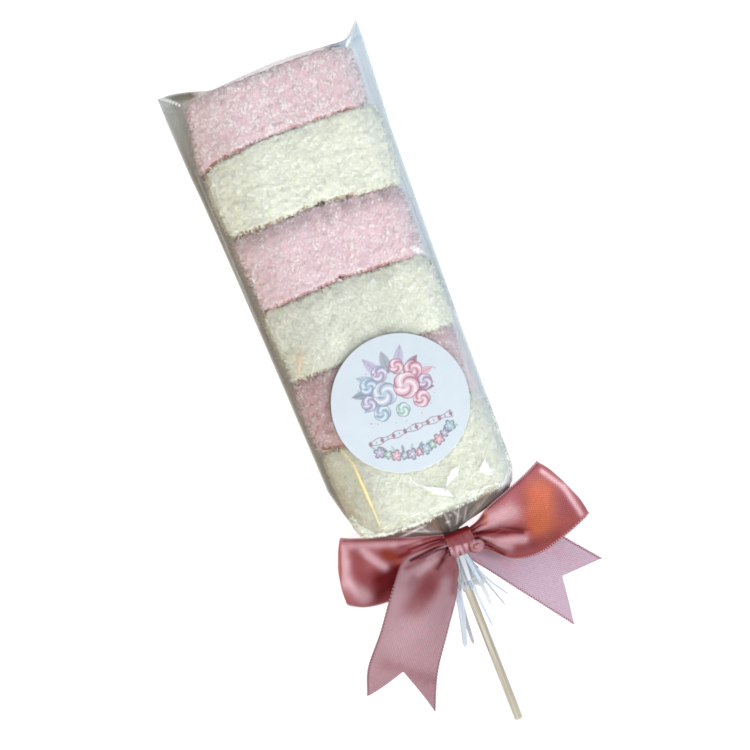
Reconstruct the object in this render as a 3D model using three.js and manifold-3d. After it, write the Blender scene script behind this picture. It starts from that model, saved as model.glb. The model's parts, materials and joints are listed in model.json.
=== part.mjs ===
// A skewer of six flake-coated marshmallow blocks in a clear film bag. The bag is sealed flat at its
// far end, with two ears, and a satin ribbon bow ties it round the skewer at the near end, where the
// film fans out in a fringed tuft. A round label lies on the front. Millimetres.
// The pack lies on its flat back: +Z up, +Y from the bare stick towards the sealed end, +X right.
// The origin is the middle of the flat back under the column of blocks.
import * as THREE from 'three';
import { mergeVertices } from 'three/addons/utils/BufferGeometryUtils.js';
import Module from 'manifold-3d';

const wasm = await Module();
wasm.setup();

// ---- driving dimensions ----
const TOUCH_GAP = 0.3;                                       // left between pieces that touch
const BLOCK_LENGTHS = [24.5, 28.8, 28.3, 28.0, 25.6, 35.4];  // from the sealed end to the stick end
const COLUMN_LENGTH = BLOCK_LENGTHS.reduce((sum, length) => sum + length, 0);
const COLUMN_TOP = COLUMN_LENGTH / 2;
const BLOCK_THICKNESS = 25.5;
const MID_Z = BLOCK_THICKNESS / 2;

const FILM_EDGE = 0.4;           // half thickness where two film faces meet in a seam or a fin
const CLOSE_START = COLUMN_TOP - 1.5;
const SEAM_Y = COLUMN_TOP + 2;
const EAR_LEFT = { from: 20, to: 35, height: 3.4 };
const EAR_RIGHT = { from: 31, to: 38, height: 4.6 };
const GROOVE = { depth: 1.6, width: 1.9 };

const STICK_LENGTH = 250;
const STICK_RADIUS = 1.5;
const STICK_X = 1.6;
const STICK_TIP_Y = -166.9;

const NECK_RADIUS = 3.9;
const NECK_X = 2.6;
const NECK_TOP = -94.2;
const NECK_END = -104.5;
const TUFT_ROOT_END = -113;
const PLEATS = 7;
const PLEAT_DEPTH = 0.09;       // of the neck's radius

const LABEL_RADIUS = 25;
const LABEL_THICKNESS = 0.35;
const LABEL_CENTRE = { x: 2.3, y: -44 };

const RIBBON_THICKNESS = 0.9;
const BORE_RADIUS = NECK_RADIUS * (1 + PLEAT_DEPTH) + 0.5;
const BAND_RADIUS = BORE_RADIUS + RIBBON_THICKNESS;
const KNOT = { x: 4.9, y: -98.9, z: 16.7, halfX: 5, halfY: 4.7, halfZ: 3.6 };
const PUCKER = { x: 9.6, y: -102.4, z: 16.6, radius: 2.2 };

// The bag's outline: how far the film reaches left and right of the middle at each place along the
// pack, its half thickness there, how wide its flat front is on either side, and how the film falls
// away from there: 0.9 as a straight tent to a fin, 0.6 hugging the blocks, 0.5 round as the neck.
const NECK = {
  left: NECK_RADIUS - NECK_X, right: NECK_RADIUS + NECK_X, half: NECK_RADIUS, flat: 0, fall: 0.5,
};
const OUTLINE = [
  { y: 90, left: 38.8, right: 39.0, half: MID_Z, flat: 28, fall: 0.9 },
  { y: 60, left: 37.8, right: 36.8, half: MID_Z, flat: 28, fall: 0.85 },
  { y: 17, left: 35.6, right: 35.4, half: MID_Z, flat: 28, fall: 0.7 },
  { y: -26, left: 34.1, right: 34.0, half: MID_Z, flat: 28, fall: 0.6 },
  { y: -65, left: 33.0, right: 33.2, half: MID_Z, flat: 27, fall: 0.6 },
  { y: -74, left: 30.9, right: 33.0, half: MID_Z, flat: 26, fall: 0.6 },
  { y: -80, left: 29.0, right: 32.8, half: MID_Z, flat: 25, fall: 0.6 },
  { y: -85, left: 26.2, right: 30.6, half: 12.0, flat: 21, fall: 0.6 },
  { y: -88, left: 18.6, right: 23.6, half: 9.3, flat: 12, fall: 0.55 },
  { y: -91, left: 8.4, right: 14.6, half: 6.4, flat: 3, fall: 0.5 },
  { y: -93, left: 2.8, right: 8.8, half: 4.8, flat: 1, fall: 0.5 },
  { y: NECK_TOP, ...NECK },
  { y: TUFT_ROOT_END, ...NECK },
];

// Film strips of the tuft: where each leaves the root and where it ends.
const TUFT_STRIPS = [
  { from: [-0.6, -110, 13.6], to: [-7.0, -135.4, 11.5], width: 1.8 },
  { from: [-0.4, -110, 10.6], to: [-3.5, -136.0, 7.0], width: 1.6 },
  { from: [4.4, -110, 15.6], to: [6.6, -124.0, 19.0], width: 1.4 },
  { from: [5.4, -110, 13.6], to: [14.5, -123.2, 13.5], width: 1.2 },
  { from: [5.6, -110, 12.4], to: [12.3, -126.8, 10.0], width: 1.2 },
  { from: [5.2, -110, 11.0], to: [8.0, -127.1, 8.0], width: 1.8 },
  { from: [3.8, -110, 9.8], to: [5.5, -132.5, 6.0], width: 1.4 },
];

// Ribbon parts, each between two edges of the ribbon. Every edge is a smooth curve through a few
// places, and the two edges of a part have the same number of them. A loop leaves the knot over the
// front, turns at its sixth place and comes back behind.
const LEFT_LOOP = {
  upper: [[4, -95.5, 16], [-4, -93, 17.5], [-11.8, -90.3, 19.3], [-22.5, -86.3, 20], [-31, -83.4, 17.8],
    [-35, -82, 13.5], [-30, -84, 9.5], [-20, -88.6, 8.5], [-8, -93.4, 10.5], [4, -96.6, 12.8]],
  lower: [[4, -100, 16], [-4.5, -102, 16.5], [-14, -107, 16.8], [-25, -109.3, 17.2], [-35.5, -108.2, 16],
    [-41.2, -105.3, 12], [-34, -107.5, 8], [-22, -107.5, 7], [-8, -102.5, 9.5], [4, -101, 12.8]],
  crown: 1.9,
};
const RIGHT_LOOP = {
  upper: [[6, -96, 16], [11.5, -94.2, 17.3], [17.5, -91.6, 18.8], [26, -88.3, 20.2], [35, -84.9, 18.6],
    [41.6, -82.2, 13.5], [35.5, -84.7, 9.4], [26, -89, 8.6], [15, -93.4, 10.2], [6, -96.6, 12.8]],
  lower: [[6, -101, 16], [13, -105, 17.8], [20.3, -111.4, 19], [29.6, -113.2, 19.4], [41.1, -110.7, 17.8],
    [52.6, -106.7, 12], [42, -108.5, 8.4], [30, -108.5, 7.8], [17, -104, 9.6], [6, -101.5, 12.8]],
  crown: 1.9,
};
const LEFT_TAIL = {
  upper: [[2, -97.8, 18.6], [-8, -96.4, 21.6], [-16.1, -96.7, 23], [-23.3, -103.9, 22],
    [-33.4, -118.2, 14.5], [-42.8, -130.4, 6.5], [-46.5, -140, 1.8]],
  lower: [[2, -101.5, 17.8], [0.9, -104.5, 17.8], [0.6, -108, 17.2], [-2.6, -115.3, 15.2],
    [-10, -127, 10], [-19.3, -141.1, 4.5], [-25.4, -154.7, 1.2]],
  crown: 0.6,
  notch: 5 / 6,
};
const RIGHT_TAIL = {
  upper: [[7, -99.5, 13.5], [14, -98.5, 8.4], [23, -98.5, 5.4],
    [35.5, -104, 4], [44.5, -115, 2.8], [52.8, -125, 1.2]],
  lower: [[5, -102.4, 14], [6.6, -106.5, 10], [11, -112.5, 6.8],
    [19, -123.5, 4.4], [27, -134.3, 2.6], [34.1, -144, 1.1]],
  crown: -0.5,
  notch: 0.82,
};

// ---- meshes and solids ----

// A geometry of the given corner places and triangles, turned so that its faces point outwards.
function closedGeometry(places, triangles) {
  const a = new THREE.Vector3();
  const b = new THREE.Vector3();
  let volume = 0;
  for (const [i, j, k] of triangles) {
    a.fromArray(places[i]);
    b.fromArray(places[j]);
    volume += a.cross(b).dot(new THREE.Vector3().fromArray(places[k]));
  }
  const outward = volume < 0 ? triangles.map(([i, j, k]) => [i, k, j]) : triangles;
  const geometry = new THREE.BufferGeometry();
  geometry.setAttribute('position', new THREE.Float32BufferAttribute(places.flat(), 3));
  geometry.setIndex(outward.flat());
  return geometry;
}

// The solid of a closed geometry, after its shared corners are merged.
function solidOf(geometry) {
  const bare = geometry.clone();
  bare.deleteAttribute('normal');
  bare.deleteAttribute('uv');
  const merged = mergeVertices(bare, 1e-4);
  return new wasm.Manifold(new wasm.Mesh({
    numProp: 3,
    vertProperties: new Float32Array(merged.attributes.position.array),
    triVerts: new Uint32Array(merged.index.array),
  }));
}

function geometryOf(solid) {
  const mesh = solid.getMesh();
  const geometry = new THREE.BufferGeometry();
  geometry.setAttribute('position', new THREE.BufferAttribute(mesh.vertProperties, 3));
  geometry.setIndex(new THREE.BufferAttribute(mesh.triVerts, 1));
  return geometry;
}

// A round bar along Y round the line (x, z), from one place to another.
function barAlongY(radius, fromY, toY, x, z, sides) {
  const bar = new THREE.CylinderGeometry(radius, radius, toY - fromY, sides);
  return bar.translate(x, (fromY + toY) / 2, z);
}

// ---- film bag ----

// One value of the outline at a place along the pack, straight between its stations.
function outlineAt(y, key) {
  const next = OUTLINE.findIndex((station) => station.y <= y);
  if (next === 0) return OUTLINE[0][key];
  if (next < 0) return OUTLINE.at(-1)[key];
  const [above, below] = [OUTLINE[next - 1], OUTLINE[next]];
  return THREE.MathUtils.mapLinear(y, above.y, below.y, above[key], below[key]);
}

// The sealed end's line: nearly straight over the blocks, rising to an ear at each corner.
function seamY(x) {
  const ear = x < 0 ? EAR_LEFT : EAR_RIGHT;
  return SEAM_Y + ear.height * THREE.MathUtils.smoothstep(Math.abs(x), ear.from, ear.to);
}

// How deep the front dips at the joints between blocks, nowhere under the label.
function grooveAt(x, y) {
  let joint = COLUMN_TOP;
  let dip = 0;
  for (const length of BLOCK_LENGTHS.slice(0, -1)) {
    joint -= length;
    dip += GROOVE.depth * Math.exp(-(((y - joint) / GROOVE.width) ** 2));
  }
  const fromLabel = Math.hypot(x - LABEL_CENTRE.x, y - LABEL_CENTRE.y) - LABEL_RADIUS;
  return dip * THREE.MathUtils.smoothstep(fromLabel, 1, 6);
}

// The rows of the bag, as places along the pack: each joint with its two shoulders, each block's
// middle, the gather to the neck, and the tuft's root.
function bagRows() {
  const rows = [CLOSE_START];
  let joint = COLUMN_TOP;
  for (const length of BLOCK_LENGTHS.slice(0, -1)) {
    rows.push(joint - length / 2, joint - length + 4, joint - length + 1.7);
    rows.push(joint - length, joint - length - 1.7, joint - length - 4);
    joint -= length;
  }
  const gather = OUTLINE.filter((station) => station.y < -60).map((station) => station.y);
  rows.push(...gather.slice(0, -1), NECK_END, gather.at(-1));
  return rows.sort((a, b) => b - a);
}

// One closed ring of places round the bag. share runs from 0, before the sealed end, to 1 on it.
function bagRing(y, share) {
  const columns = 20;
  const left = outlineAt(y, 'left');
  const right = outlineAt(y, 'right');
  const fall = outlineAt(y, 'fall');
  const centre = (right - left) / 2;
  const reach = (right + left) / 2;
  const flat = outlineAt(y, 'flat');
  const half = outlineAt(y, 'half') - FILM_EDGE;
  const pleat = PLEAT_DEPTH * THREE.MathUtils.smoothstep(-y, COLUMN_TOP, -NECK_TOP);
  const faces = [1, -1].map((side) => {
    const places = [];
    for (let i = 0; i <= columns; i += 1) {
      const turn = (Math.PI * (i / columns - 0.5)) * side;
      const across = reach * Math.sin(turn);
      const out = Math.min(Math.max((Math.abs(across) - flat) / (reach - flat), 0), 1);
      const bulge = (1 - out ** (0.5 + 1 / fall)) ** fall;
      const ripple = 1 + pleat * Math.cos(PLEATS * (side > 0 ? turn : Math.PI - turn));
      const x = centre + across * ripple;
      const end = y + (seamY(x) - y) * share;
      const lift = (half * bulge * ripple) * (1 - share ** 2.5) ** 0.6 + FILM_EDGE;
      const dip = side > 0 && share === 0 ? grooveAt(x, y) * bulge : 0;
      places.push([x, end, MID_Z + side * lift - dip]);
    }
    return places;
  });
  return faces.flat();
}

// The bag's skin: rings joined along the pack, and a strip across each end.
function bagShell() {
  const rings = [1, 0.85, 0.6, 0.3].map((share) => bagRing(CLOSE_START, share));
  rings.push(...bagRows().map((y) => bagRing(y, 0)));
  const count = rings[0].length;
  const triangles = [];
  for (let i = 0; i < rings.length - 1; i += 1) {
    for (let j = 0; j < count; j += 1) {
      const next = (j + 1) % count;
      const corners = [i * count + j, i * count + next, (i + 1) * count + next, (i + 1) * count + j];
      triangles.push([corners[0], corners[1], corners[2]], [corners[0], corners[2], corners[3]]);
    }
  }
  for (let j = 0; j < count / 2 - 1; j += 1) {
    const across = [j, j + 1, count - 2 - j, count - 1 - j];
    triangles.push([across[0], across[2], across[1]], [across[0], across[3], across[2]]);
    const last = across.map((corner) => corner + (rings.length - 1) * count);
    triangles.push([last[0], last[1], last[2]], [last[0], last[2], last[3]]);
  }
  return closedGeometry(rings.flat(), triangles);
}

// A thin flat strip of film that narrows towards its end.
function filmStrip({ from, to, width }) {
  const start = new THREE.Vector3().fromArray(from);
  const end = new THREE.Vector3().fromArray(to);
  const along = end.clone().sub(start).normalize();
  const side = new THREE.Vector3(0, 0, 1).cross(along).normalize();
  const up = along.clone().cross(side);
  const places = [];
  for (const [place, half] of [[start, width / 2], [end, width / 3]]) {
    for (const [s, u] of [[-1, -1], [1, -1], [1, 1], [-1, 1]]) {
      const corner = place.clone().addScaledVector(side, s * half).addScaledVector(up, u * FILM_EDGE);
      places.push(corner.toArray());
    }
  }
  const triangles = [[0, 1, 2], [0, 2, 3], [4, 6, 5], [4, 7, 6]];
  for (let i = 0; i < 4; i += 1) {
    const next = (i + 1) % 4;
    triangles.push([i, i + 4, next + 4], [i, next + 4, next]);
  }
  return closedGeometry(places, triangles);
}

function bag() {
  const channelEnd = STICK_TIP_Y + STICK_LENGTH + TOUCH_GAP;
  const channel = barAlongY(STICK_RADIUS + TOUCH_GAP, STICK_TIP_Y, channelEnd, STICK_X, MID_Z, 14);
  let solid = solidOf(bagShell());
  for (const strip of TUFT_STRIPS) {
    solid = solid.add(solidOf(filmStrip(strip)));
  }
  return geometryOf(solid.subtract(solidOf(channel)));
}

// ---- skewer and label ----

// A round stick with a blunt bevelled end below and a point inside the last block.
function skewer() {
  const bevel = 0.4;
  const point = { length: 6, radius: 0.5 };
  const profile = [
    [0, 0], [STICK_RADIUS - bevel, 0], [STICK_RADIUS, bevel],
    [STICK_RADIUS, STICK_LENGTH - point.length], [point.radius, STICK_LENGTH], [0, STICK_LENGTH],
  ];
  return new THREE.LatheGeometry(profile.map(([r, y]) => new THREE.Vector2(r, y)), 14);
}

function label() {
  return new THREE.CylinderGeometry(LABEL_RADIUS, LABEL_RADIUS, LABEL_THICKNESS, 72).rotateX(Math.PI / 2);
}

// ---- ribbon bow ----

// A place on a ribbon part: u runs along it, v across it from -1 to 1. It lies between the part's
// two edges, crowned in the middle and pleated near the knot.
function ribbonPlace(part, edges, u, v) {
  const [upper, lower] = edges.map((edge) => edge.getPoint(u));
  const ahead = Math.min(u + 0.01, 1);
  const back = Math.max(u - 0.01, 0);
  const along = edges[0].getPoint(ahead).add(edges[1].getPoint(ahead));
  along.sub(edges[0].getPoint(back)).sub(edges[1].getPoint(back));
  const outward = lower.clone().sub(upper).cross(along).normalize();
  const knotSide = part.notch ? u : Math.min(u, 1 - u);
  const pleat = 0.7 * Math.exp(-((knotSide / 0.13) ** 2)) * Math.cos(2.5 * Math.PI * v);
  const swell = part.crown * (1 - v * v) * Math.min(1, 5 * knotSide);
  return upper.lerp(lower, (1 + v) / 2).addScaledVector(outward, (swell + pleat) * part.facing);
}

// A ribbon part as a closed slab. A tail ends in a swallowtail, its middle cut back to the notch.
function ribbonSlab(part, lengthSteps, widthSteps) {
  const edges = [part.upper, part.lower].map(
    (edge) => new THREE.CatmullRomCurve3(edge.map((place) => new THREE.Vector3().fromArray(place))));
  const place = (i, j) => {
    const v = (2 * j) / widthSteps - 1;
    const reach = part.notch ? part.notch + (1 - part.notch) * Math.abs(v) : 1;
    return ribbonPlace(part, edges, (reach * i) / lengthSteps, v);
  };
  const faces = [[], []];
  for (let i = 0; i <= lengthSteps; i += 1) {
    for (let j = 0; j <= widthSteps; j += 1) {
      const along = place(Math.min(i + 1, lengthSteps), j).sub(place(Math.max(i - 1, 0), j));
      const across = place(i, Math.min(j + 1, widthSteps)).sub(place(i, Math.max(j - 1, 0)));
      const normal = along.cross(across).normalize().multiplyScalar(RIBBON_THICKNESS / 2);
      faces[0].push(place(i, j).add(normal).toArray());
      faces[1].push(place(i, j).sub(normal).toArray());
    }
  }
  return closedGeometry(faces.flat(), slabTriangles(lengthSteps, widthSteps));
}

// The triangles of two grids of places that face away from each other, and of the wall between.
function slabTriangles(lengthSteps, widthSteps) {
  const columns = widthSteps + 1;
  const count = (lengthSteps + 1) * columns;
  const triangles = [];
  const quad = (a, b, c, d) => triangles.push([a, b, c], [a, c, d]);
  for (let i = 0; i < lengthSteps; i += 1) {
    for (let j = 0; j < widthSteps; j += 1) {
      const k = i * columns + j;
      quad(k, k + columns, k + columns + 1, k + 1);
      quad(count + k, count + k + 1, count + k + columns + 1, count + k + columns);
    }
    const near = i * columns;
    const far = near + widthSteps;
    quad(near, count + near, count + near + columns, near + columns);
    quad(far + columns, count + far + columns, count + far, far);
  }
  for (let j = 0; j < widthSteps; j += 1) {
    const end = lengthSteps * columns + j;
    quad(j + 1, count + j + 1, count + j, j);
    quad(end, count + end, count + end + 1, end + 1);
  }
  return triangles;
}

// The knot's front: a pillow with soft corners over the band, and the small pucker beside it.
function knotPillow() {
  const pillow = new THREE.SphereGeometry(1, 20, 14);
  const places = pillow.attributes.position;
  for (let i = 0; i < places.count; i += 1) {
    const place = new THREE.Vector3().fromBufferAttribute(places, i);
    const soft = place.toArray().map((value) => Math.sign(value) * Math.abs(value) ** 0.6);
    places.setXYZ(i, soft[0] * KNOT.halfX, soft[1] * KNOT.halfY, soft[2] * KNOT.halfZ);
  }
  return pillow.translate(KNOT.x, KNOT.y, KNOT.z);
}

function ribbonBow() {
  const bandTop = KNOT.y + KNOT.halfY - 0.6;
  const bandEnd = KNOT.y - KNOT.halfY + 0.6;
  const bore = barAlongY(BORE_RADIUS, NECK_END - 4, NECK_TOP + 2, NECK_X, MID_Z, 28);
  const pucker = new THREE.SphereGeometry(PUCKER.radius, 12, 8).translate(PUCKER.x, PUCKER.y, PUCKER.z);
  let solid = solidOf(barAlongY(BAND_RADIUS, bandEnd, bandTop, NECK_X, MID_Z, 28));
  solid = solid.add(solidOf(knotPillow())).add(solidOf(pucker));
  for (const loop of [{ ...LEFT_LOOP, facing: -1 }, { ...RIGHT_LOOP, facing: 1 }]) {
    solid = solid.add(solidOf(ribbonSlab(loop, 34, 8)));
  }
  for (const tail of [{ ...LEFT_TAIL, facing: -1 }, { ...RIGHT_TAIL, facing: 1 }]) {
    solid = solid.add(solidOf(ribbonSlab(tail, 16, 8)));
  }
  return geometryOf(solid.subtract(solidOf(bore)));
}

// ---- assembly ----

function addPiece(group, name, geometry, place, colour, roughness) {
  const material = new THREE.MeshStandardMaterial({ color: colour, roughness, metalness: 0 });
  const mesh = new THREE.Mesh(geometry, material);
  mesh.name = name;
  mesh.position.set(...place);
  group.add(mesh);
}

const group = new THREE.Group();
addPiece(group, 'bag', bag(), [0, 0, 0], 0xe3d2d4, 0.2);
addPiece(group, 'skewer', skewer(), [STICK_X, STICK_TIP_Y, MID_Z], 0xc9bda4, 0.6);
addPiece(group, 'label', label(),
  [LABEL_CENTRE.x, LABEL_CENTRE.y, BLOCK_THICKNESS + TOUCH_GAP + LABEL_THICKNESS / 2], 0xe9eef2, 0.4);
addPiece(group, 'ribbon_bow', ribbonBow(), [0, 0, 0], 0xb98389, 0.4);

export default group;
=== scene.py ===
"""Dresses the bagged marshmallow skewer for its picture.

Six flake-coated marshmallow blocks on a bamboo skewer lie in a clear film bag. A satin ribbon bow ties
the bag round the skewer, and a round label lies on the front. Every shape is worked out in millimetres,
with +Y towards the sealed end and +Z up through the front, and goes into its mesh in metres.
"""

import json
import logging
import math
from dataclasses import dataclass, field
from enum import Enum

import bmesh
import bpy
import numpy as np
from mathutils import Matrix, Vector

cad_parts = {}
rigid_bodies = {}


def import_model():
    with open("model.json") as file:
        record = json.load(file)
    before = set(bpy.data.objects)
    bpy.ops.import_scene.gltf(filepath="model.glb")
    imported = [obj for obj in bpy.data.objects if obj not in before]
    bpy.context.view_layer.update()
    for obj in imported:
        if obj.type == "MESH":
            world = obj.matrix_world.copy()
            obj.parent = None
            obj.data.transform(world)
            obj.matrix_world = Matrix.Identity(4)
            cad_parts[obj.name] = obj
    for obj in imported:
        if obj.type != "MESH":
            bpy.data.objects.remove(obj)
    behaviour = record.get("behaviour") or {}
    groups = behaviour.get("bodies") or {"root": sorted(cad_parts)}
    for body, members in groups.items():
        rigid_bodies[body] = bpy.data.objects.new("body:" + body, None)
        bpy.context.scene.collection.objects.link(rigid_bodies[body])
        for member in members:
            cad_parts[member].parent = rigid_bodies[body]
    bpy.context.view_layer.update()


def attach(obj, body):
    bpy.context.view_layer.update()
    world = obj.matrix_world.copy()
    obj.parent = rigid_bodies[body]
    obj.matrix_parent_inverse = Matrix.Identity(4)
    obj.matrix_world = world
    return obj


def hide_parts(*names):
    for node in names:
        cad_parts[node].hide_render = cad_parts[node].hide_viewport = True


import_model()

Array = np.ndarray
Colour = tuple[float, float, float]
Place = tuple[float, float, float]
Pair = tuple[float, float]
Material = bpy.types.Material
Node = bpy.types.Node
Socket = bpy.types.NodeSocket

MM = 0.001
BODY = "root"
log = logging.getLogger("marshmallow_skewer")


# ---- the pack's main measures, in millimetres ----

MID_Z = 12.75
NECK_X = 2.6
NECK_RADIUS = 3.9
NECK_TOP = -94.2
NECK_END = -113.0
LABEL_CENTRE = (2.3, -44.0)
LABEL_RADIUS = 25.0
RIBBON_WIDTH = 25.0
PICOT_PITCH = 0.87

# Each block's left and right edges, as y and x pairs, from the sealed end on.
BLOCK_SIDES = (
    (((84, -30.9), (72, -32.3), (60, -34.3)), ((84, 32.6), (72, 32.5), (60, 31.4))),
    (((59, -32.6), (45, -33.6), (33, -31.8)), ((59, 33.4), (45, 33.8), (31, 32.6))),
    (((31, -32.6), (18, -31.6), (5, -30.8)), ((30, 31.6), (18, 31.4), (5, 30.2))),
    (((3, -32), (-10, -31.2), (-23, -30.4)), ((3, 31.8), (-10, 32.8), (-24, 33.2))),
    (((-25, -31.2), (-37, -31.4), (-49, -31)), ((-26, 31.2), (-37, 31.4), (-48, 31))),
    (((-51, -30.8), (-66, -30.4), (-84, -28.4)), ((-51, 32.6), (-66, 33), (-84, 32.4))),
)


class Slot(str, Enum):
    """The record's material slots."""

    FILM = "film"
    PINK = "pink_coating"
    CREAM = "cream_coating"
    WOOD = "stick_wood"
    PAPER = "label_paper"
    SATIN = "satin"


# ---- shapes ----


def ramp(value: Array, low: float, high: float) -> Array:
    """Rises from 0 at low to 1 at high, as 3t² - 2t³."""
    t = np.clip((np.asarray(value, float) - low) / (high - low), 0, 1)
    return t * t * (3.0 - 2.0 * t)


def bell(value: Array, width: float) -> Array:
    """Falls from 1 at 0 to either side, as e^(-(value / width)²)."""
    return np.exp(-((value / width) ** 2))


def circle(count: int) -> Array:
    """Angles round a circle, as one row."""
    return np.linspace(0, 2.0 * math.pi, count, endpoint=False)[None, :]


def soft_noise(points: Array, size: float, seed: int, waves: int = 18) -> Array:
    """A smooth random field: the sum of cosines along random directions.

    Args:
        points: Places, one row each, of two or three coordinates.
        size: Length of the waves, in the points' own unit.
        seed: Seed of the directions and phases.
        waves: Number of cosines.

    Returns:
        One value for each place, with a mean near 0 and a spread near 1.
    """
    draw = np.random.default_rng(seed)
    ways = draw.normal(size=(waves, points.shape[-1]))
    ways /= np.linalg.norm(ways, axis=1, keepdims=True)
    ways *= (2.0 * math.pi / size) * draw.uniform(0.6, 1.5, (waves, 1))
    phase = draw.uniform(0, 2.0 * math.pi, waves)
    return np.cos(points @ ways.T + phase).sum(-1) * math.sqrt(2.0 / waves)


def unit(vectors: Array) -> Array:
    """The same directions with length 1."""
    return vectors / np.maximum(np.linalg.norm(vectors, axis=-1, keepdims=True), 1e-9)


def smooth_path(places: Array, u: Array) -> Array:
    """A smooth curve through a few places, a centripetal Catmull-Rom spline.

    Args:
        places: The places that it runs through, one row each.
        u: Where to read it, from 0 at the first place to 1 at the last.

    Returns:
        One place for each u.
    """
    ends = (2 * places[:1] - places[1:2], places, 2 * places[-1:] - places[-2:-1])
    held = np.concatenate(ends)
    spot = np.clip(u, 0, 1) * (len(places) - 1)
    first = np.minimum(spot.astype(int), len(places) - 2)
    t = (spot - first)[..., None]
    a, b, c, d = (held[first + k] for k in range(4))
    step = [np.maximum(np.linalg.norm(q - p, axis=-1, keepdims=True), 1e-4) ** 0.5
            for p, q in ((a, b), (b, c), (c, d))]
    leave = ((b - a) / step[0] - (c - a) / (step[0] + step[1]) + (c - b) / step[1]) * step[1]
    arrive = ((c - b) / step[1] - (d - b) / (step[1] + step[2]) + (d - c) / step[2]) * step[1]
    cubic = 2 * b - 2 * c + leave + arrive
    square = 3 * c - 3 * b - 2 * leave - arrive
    return b + leave * t + square * t**2 + cubic * t**3


@dataclass
class Shell:
    """A surface before it becomes a mesh.

    Attributes:
        points: Places of its corners in millimetres, one row each.
        faces: Corner numbers of its faces, one array for each number of corners.
        layers: Values that the corners carry, by attribute name: a number or a colour each.
        uv: The pattern's own coordinates at each corner, or None.
        lean: Shading normals of the corners, or None for the surface's own.
    """

    points: Array
    faces: list[Array]
    layers: dict[str, Array] = field(default_factory=dict)
    uv: Array | None = None
    lean: Array | None = None

    def outward(self) -> "Shell":
        """Turns the faces of a closed surface outwards, by the sign of the volume that they hold.

        Returns:
            The same shell.
        """
        volume = 0.0
        for group in self.faces:
            a = self.points[group[:, 0]]
            for k in range(1, group.shape[1] - 1):
                b, c = self.points[group[:, k]], self.points[group[:, k + 1]]
                volume += float((a * np.cross(b, c)).sum())
        if volume < 0:
            self.faces = [group[:, ::-1] for group in self.faces]
        return self

    def piece(self, name: str, finish: Material, weld: bool = False) -> bpy.types.Object:
        """Makes the Blender object, at the origin, with its place in its mesh.

        Args:
            name: The piece's name.
            finish: The material that it wears.
            weld: Whether corners that lie on each other become one.

        Returns:
            The new object, riding on the one body.
        """
        mesh = bpy.data.meshes.new(name)
        sizes = np.concatenate([np.full(len(group), group.shape[1]) for group in self.faces])
        corners = np.concatenate([group.ravel() for group in self.faces]).astype(np.int32)
        mesh.vertices.add(len(self.points))
        mesh.vertices.foreach_set("co", (self.points * MM).astype(np.float32).ravel())
        mesh.loops.add(len(corners))
        mesh.loops.foreach_set("vertex_index", corners)
        mesh.polygons.add(len(sizes))
        mesh.polygons.foreach_set("loop_start", (np.cumsum(sizes) - sizes).astype(np.int32))
        mesh.polygons.foreach_set("use_smooth", np.ones(len(sizes), bool))
        mesh.update(calc_edges=True)
        for key, values in self.layers.items():
            kind, part = "FLOAT", "value"
            if values.ndim > 1:
                kind, part = "FLOAT_COLOR", "color"
                values = np.column_stack([values, np.ones(len(values))])
            held = mesh.attributes.new(key, kind, "POINT").data
            held.foreach_set(part, values.astype(np.float32).ravel())
        if self.uv is not None:
            held = mesh.uv_layers.new(name="UVMap").data
            held.foreach_set("uv", self.uv[corners].astype(np.float32).ravel())
        if weld:
            work = bmesh.new()
            work.from_mesh(mesh)
            bmesh.ops.remove_doubles(work, verts=work.verts, dist=1e-6)
            work.to_mesh(mesh)
            work.free()
        if self.lean is not None:
            mesh.normals_split_custom_set_from_vertices(self.lean.astype(np.float32))
        mesh.materials.append(finish)
        made = bpy.data.objects.new(name, mesh)
        bpy.context.scene.collection.objects.link(made)
        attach(made, BODY)
        log.info("%s: %d faces", name, len(mesh.polygons))
        return made


def joined(shells: list[Shell]) -> Shell:
    """One shell of several, their corners numbered on.

    Args:
        shells: Shells that carry the same layers.

    Returns:
        The new shell.
    """
    faces: list[Array] = []
    start = 0
    for shell in shells:
        faces += [group + start for group in shell.faces]
        start += len(shell.points)
    layers = {key: np.concatenate([shell.layers[key] for shell in shells]) for key in shells[0].layers}
    uv = None if shells[0].uv is None else np.concatenate([shell.uv for shell in shells])
    return Shell(np.concatenate([shell.points for shell in shells]), faces, layers, uv)


def ring_shell(rings: Array, layers: dict[str, Array] | None = None, poles: bool = True,
               first_pole: bool = True) -> Shell:
    """A surface of closed rings, one after the other, with a fan of triangles over each end.

    Args:
        rings: Places, shaped (rings, places on a ring, 3).
        layers: Values shaped (rings, places on a ring), or with a colour at the end.
        poles: Whether the ends get fans.
        first_pole: Whether the first end gets one too; a ring that is folded flat needs none.

    Returns:
        The shell, with its faces outwards.
    """
    rows, around = rings.shape[:2]
    i = np.arange(rows - 1)[:, None] * around
    j = np.arange(around)[None, :]
    k = (j + 1) % around
    quads = np.stack([i + j, i + k, i + around + k, i + around + j], -1).reshape(-1, 4)
    points = rings.reshape(-1, 3)
    carried = {key: value.reshape(rows * around, *value.shape[2:])
               for key, value in (layers or {}).items()}
    if not poles:
        return Shell(points, [quads], carried)
    spots, fans = np.arange(around), []
    ends = [0, rows - 1] if first_pole else [rows - 1]
    for tip, ring in enumerate(ends, rows * around):
        one, other = (np.roll(spots, -1), spots) if ring == 0 else (spots, np.roll(spots, -1))
        start = ring * around
        fans.append(np.stack([one + start, other + start, np.full(around, tip)], -1))
    for key, value in carried.items():
        tips = value.reshape(rows, around, *value.shape[1:])[ends].mean(1)
        carried[key] = np.concatenate([value, tips])
    points = np.concatenate([points, rings[ends].mean(1)])
    return Shell(points, [quads, np.concatenate(fans)], carried).outward()


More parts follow.
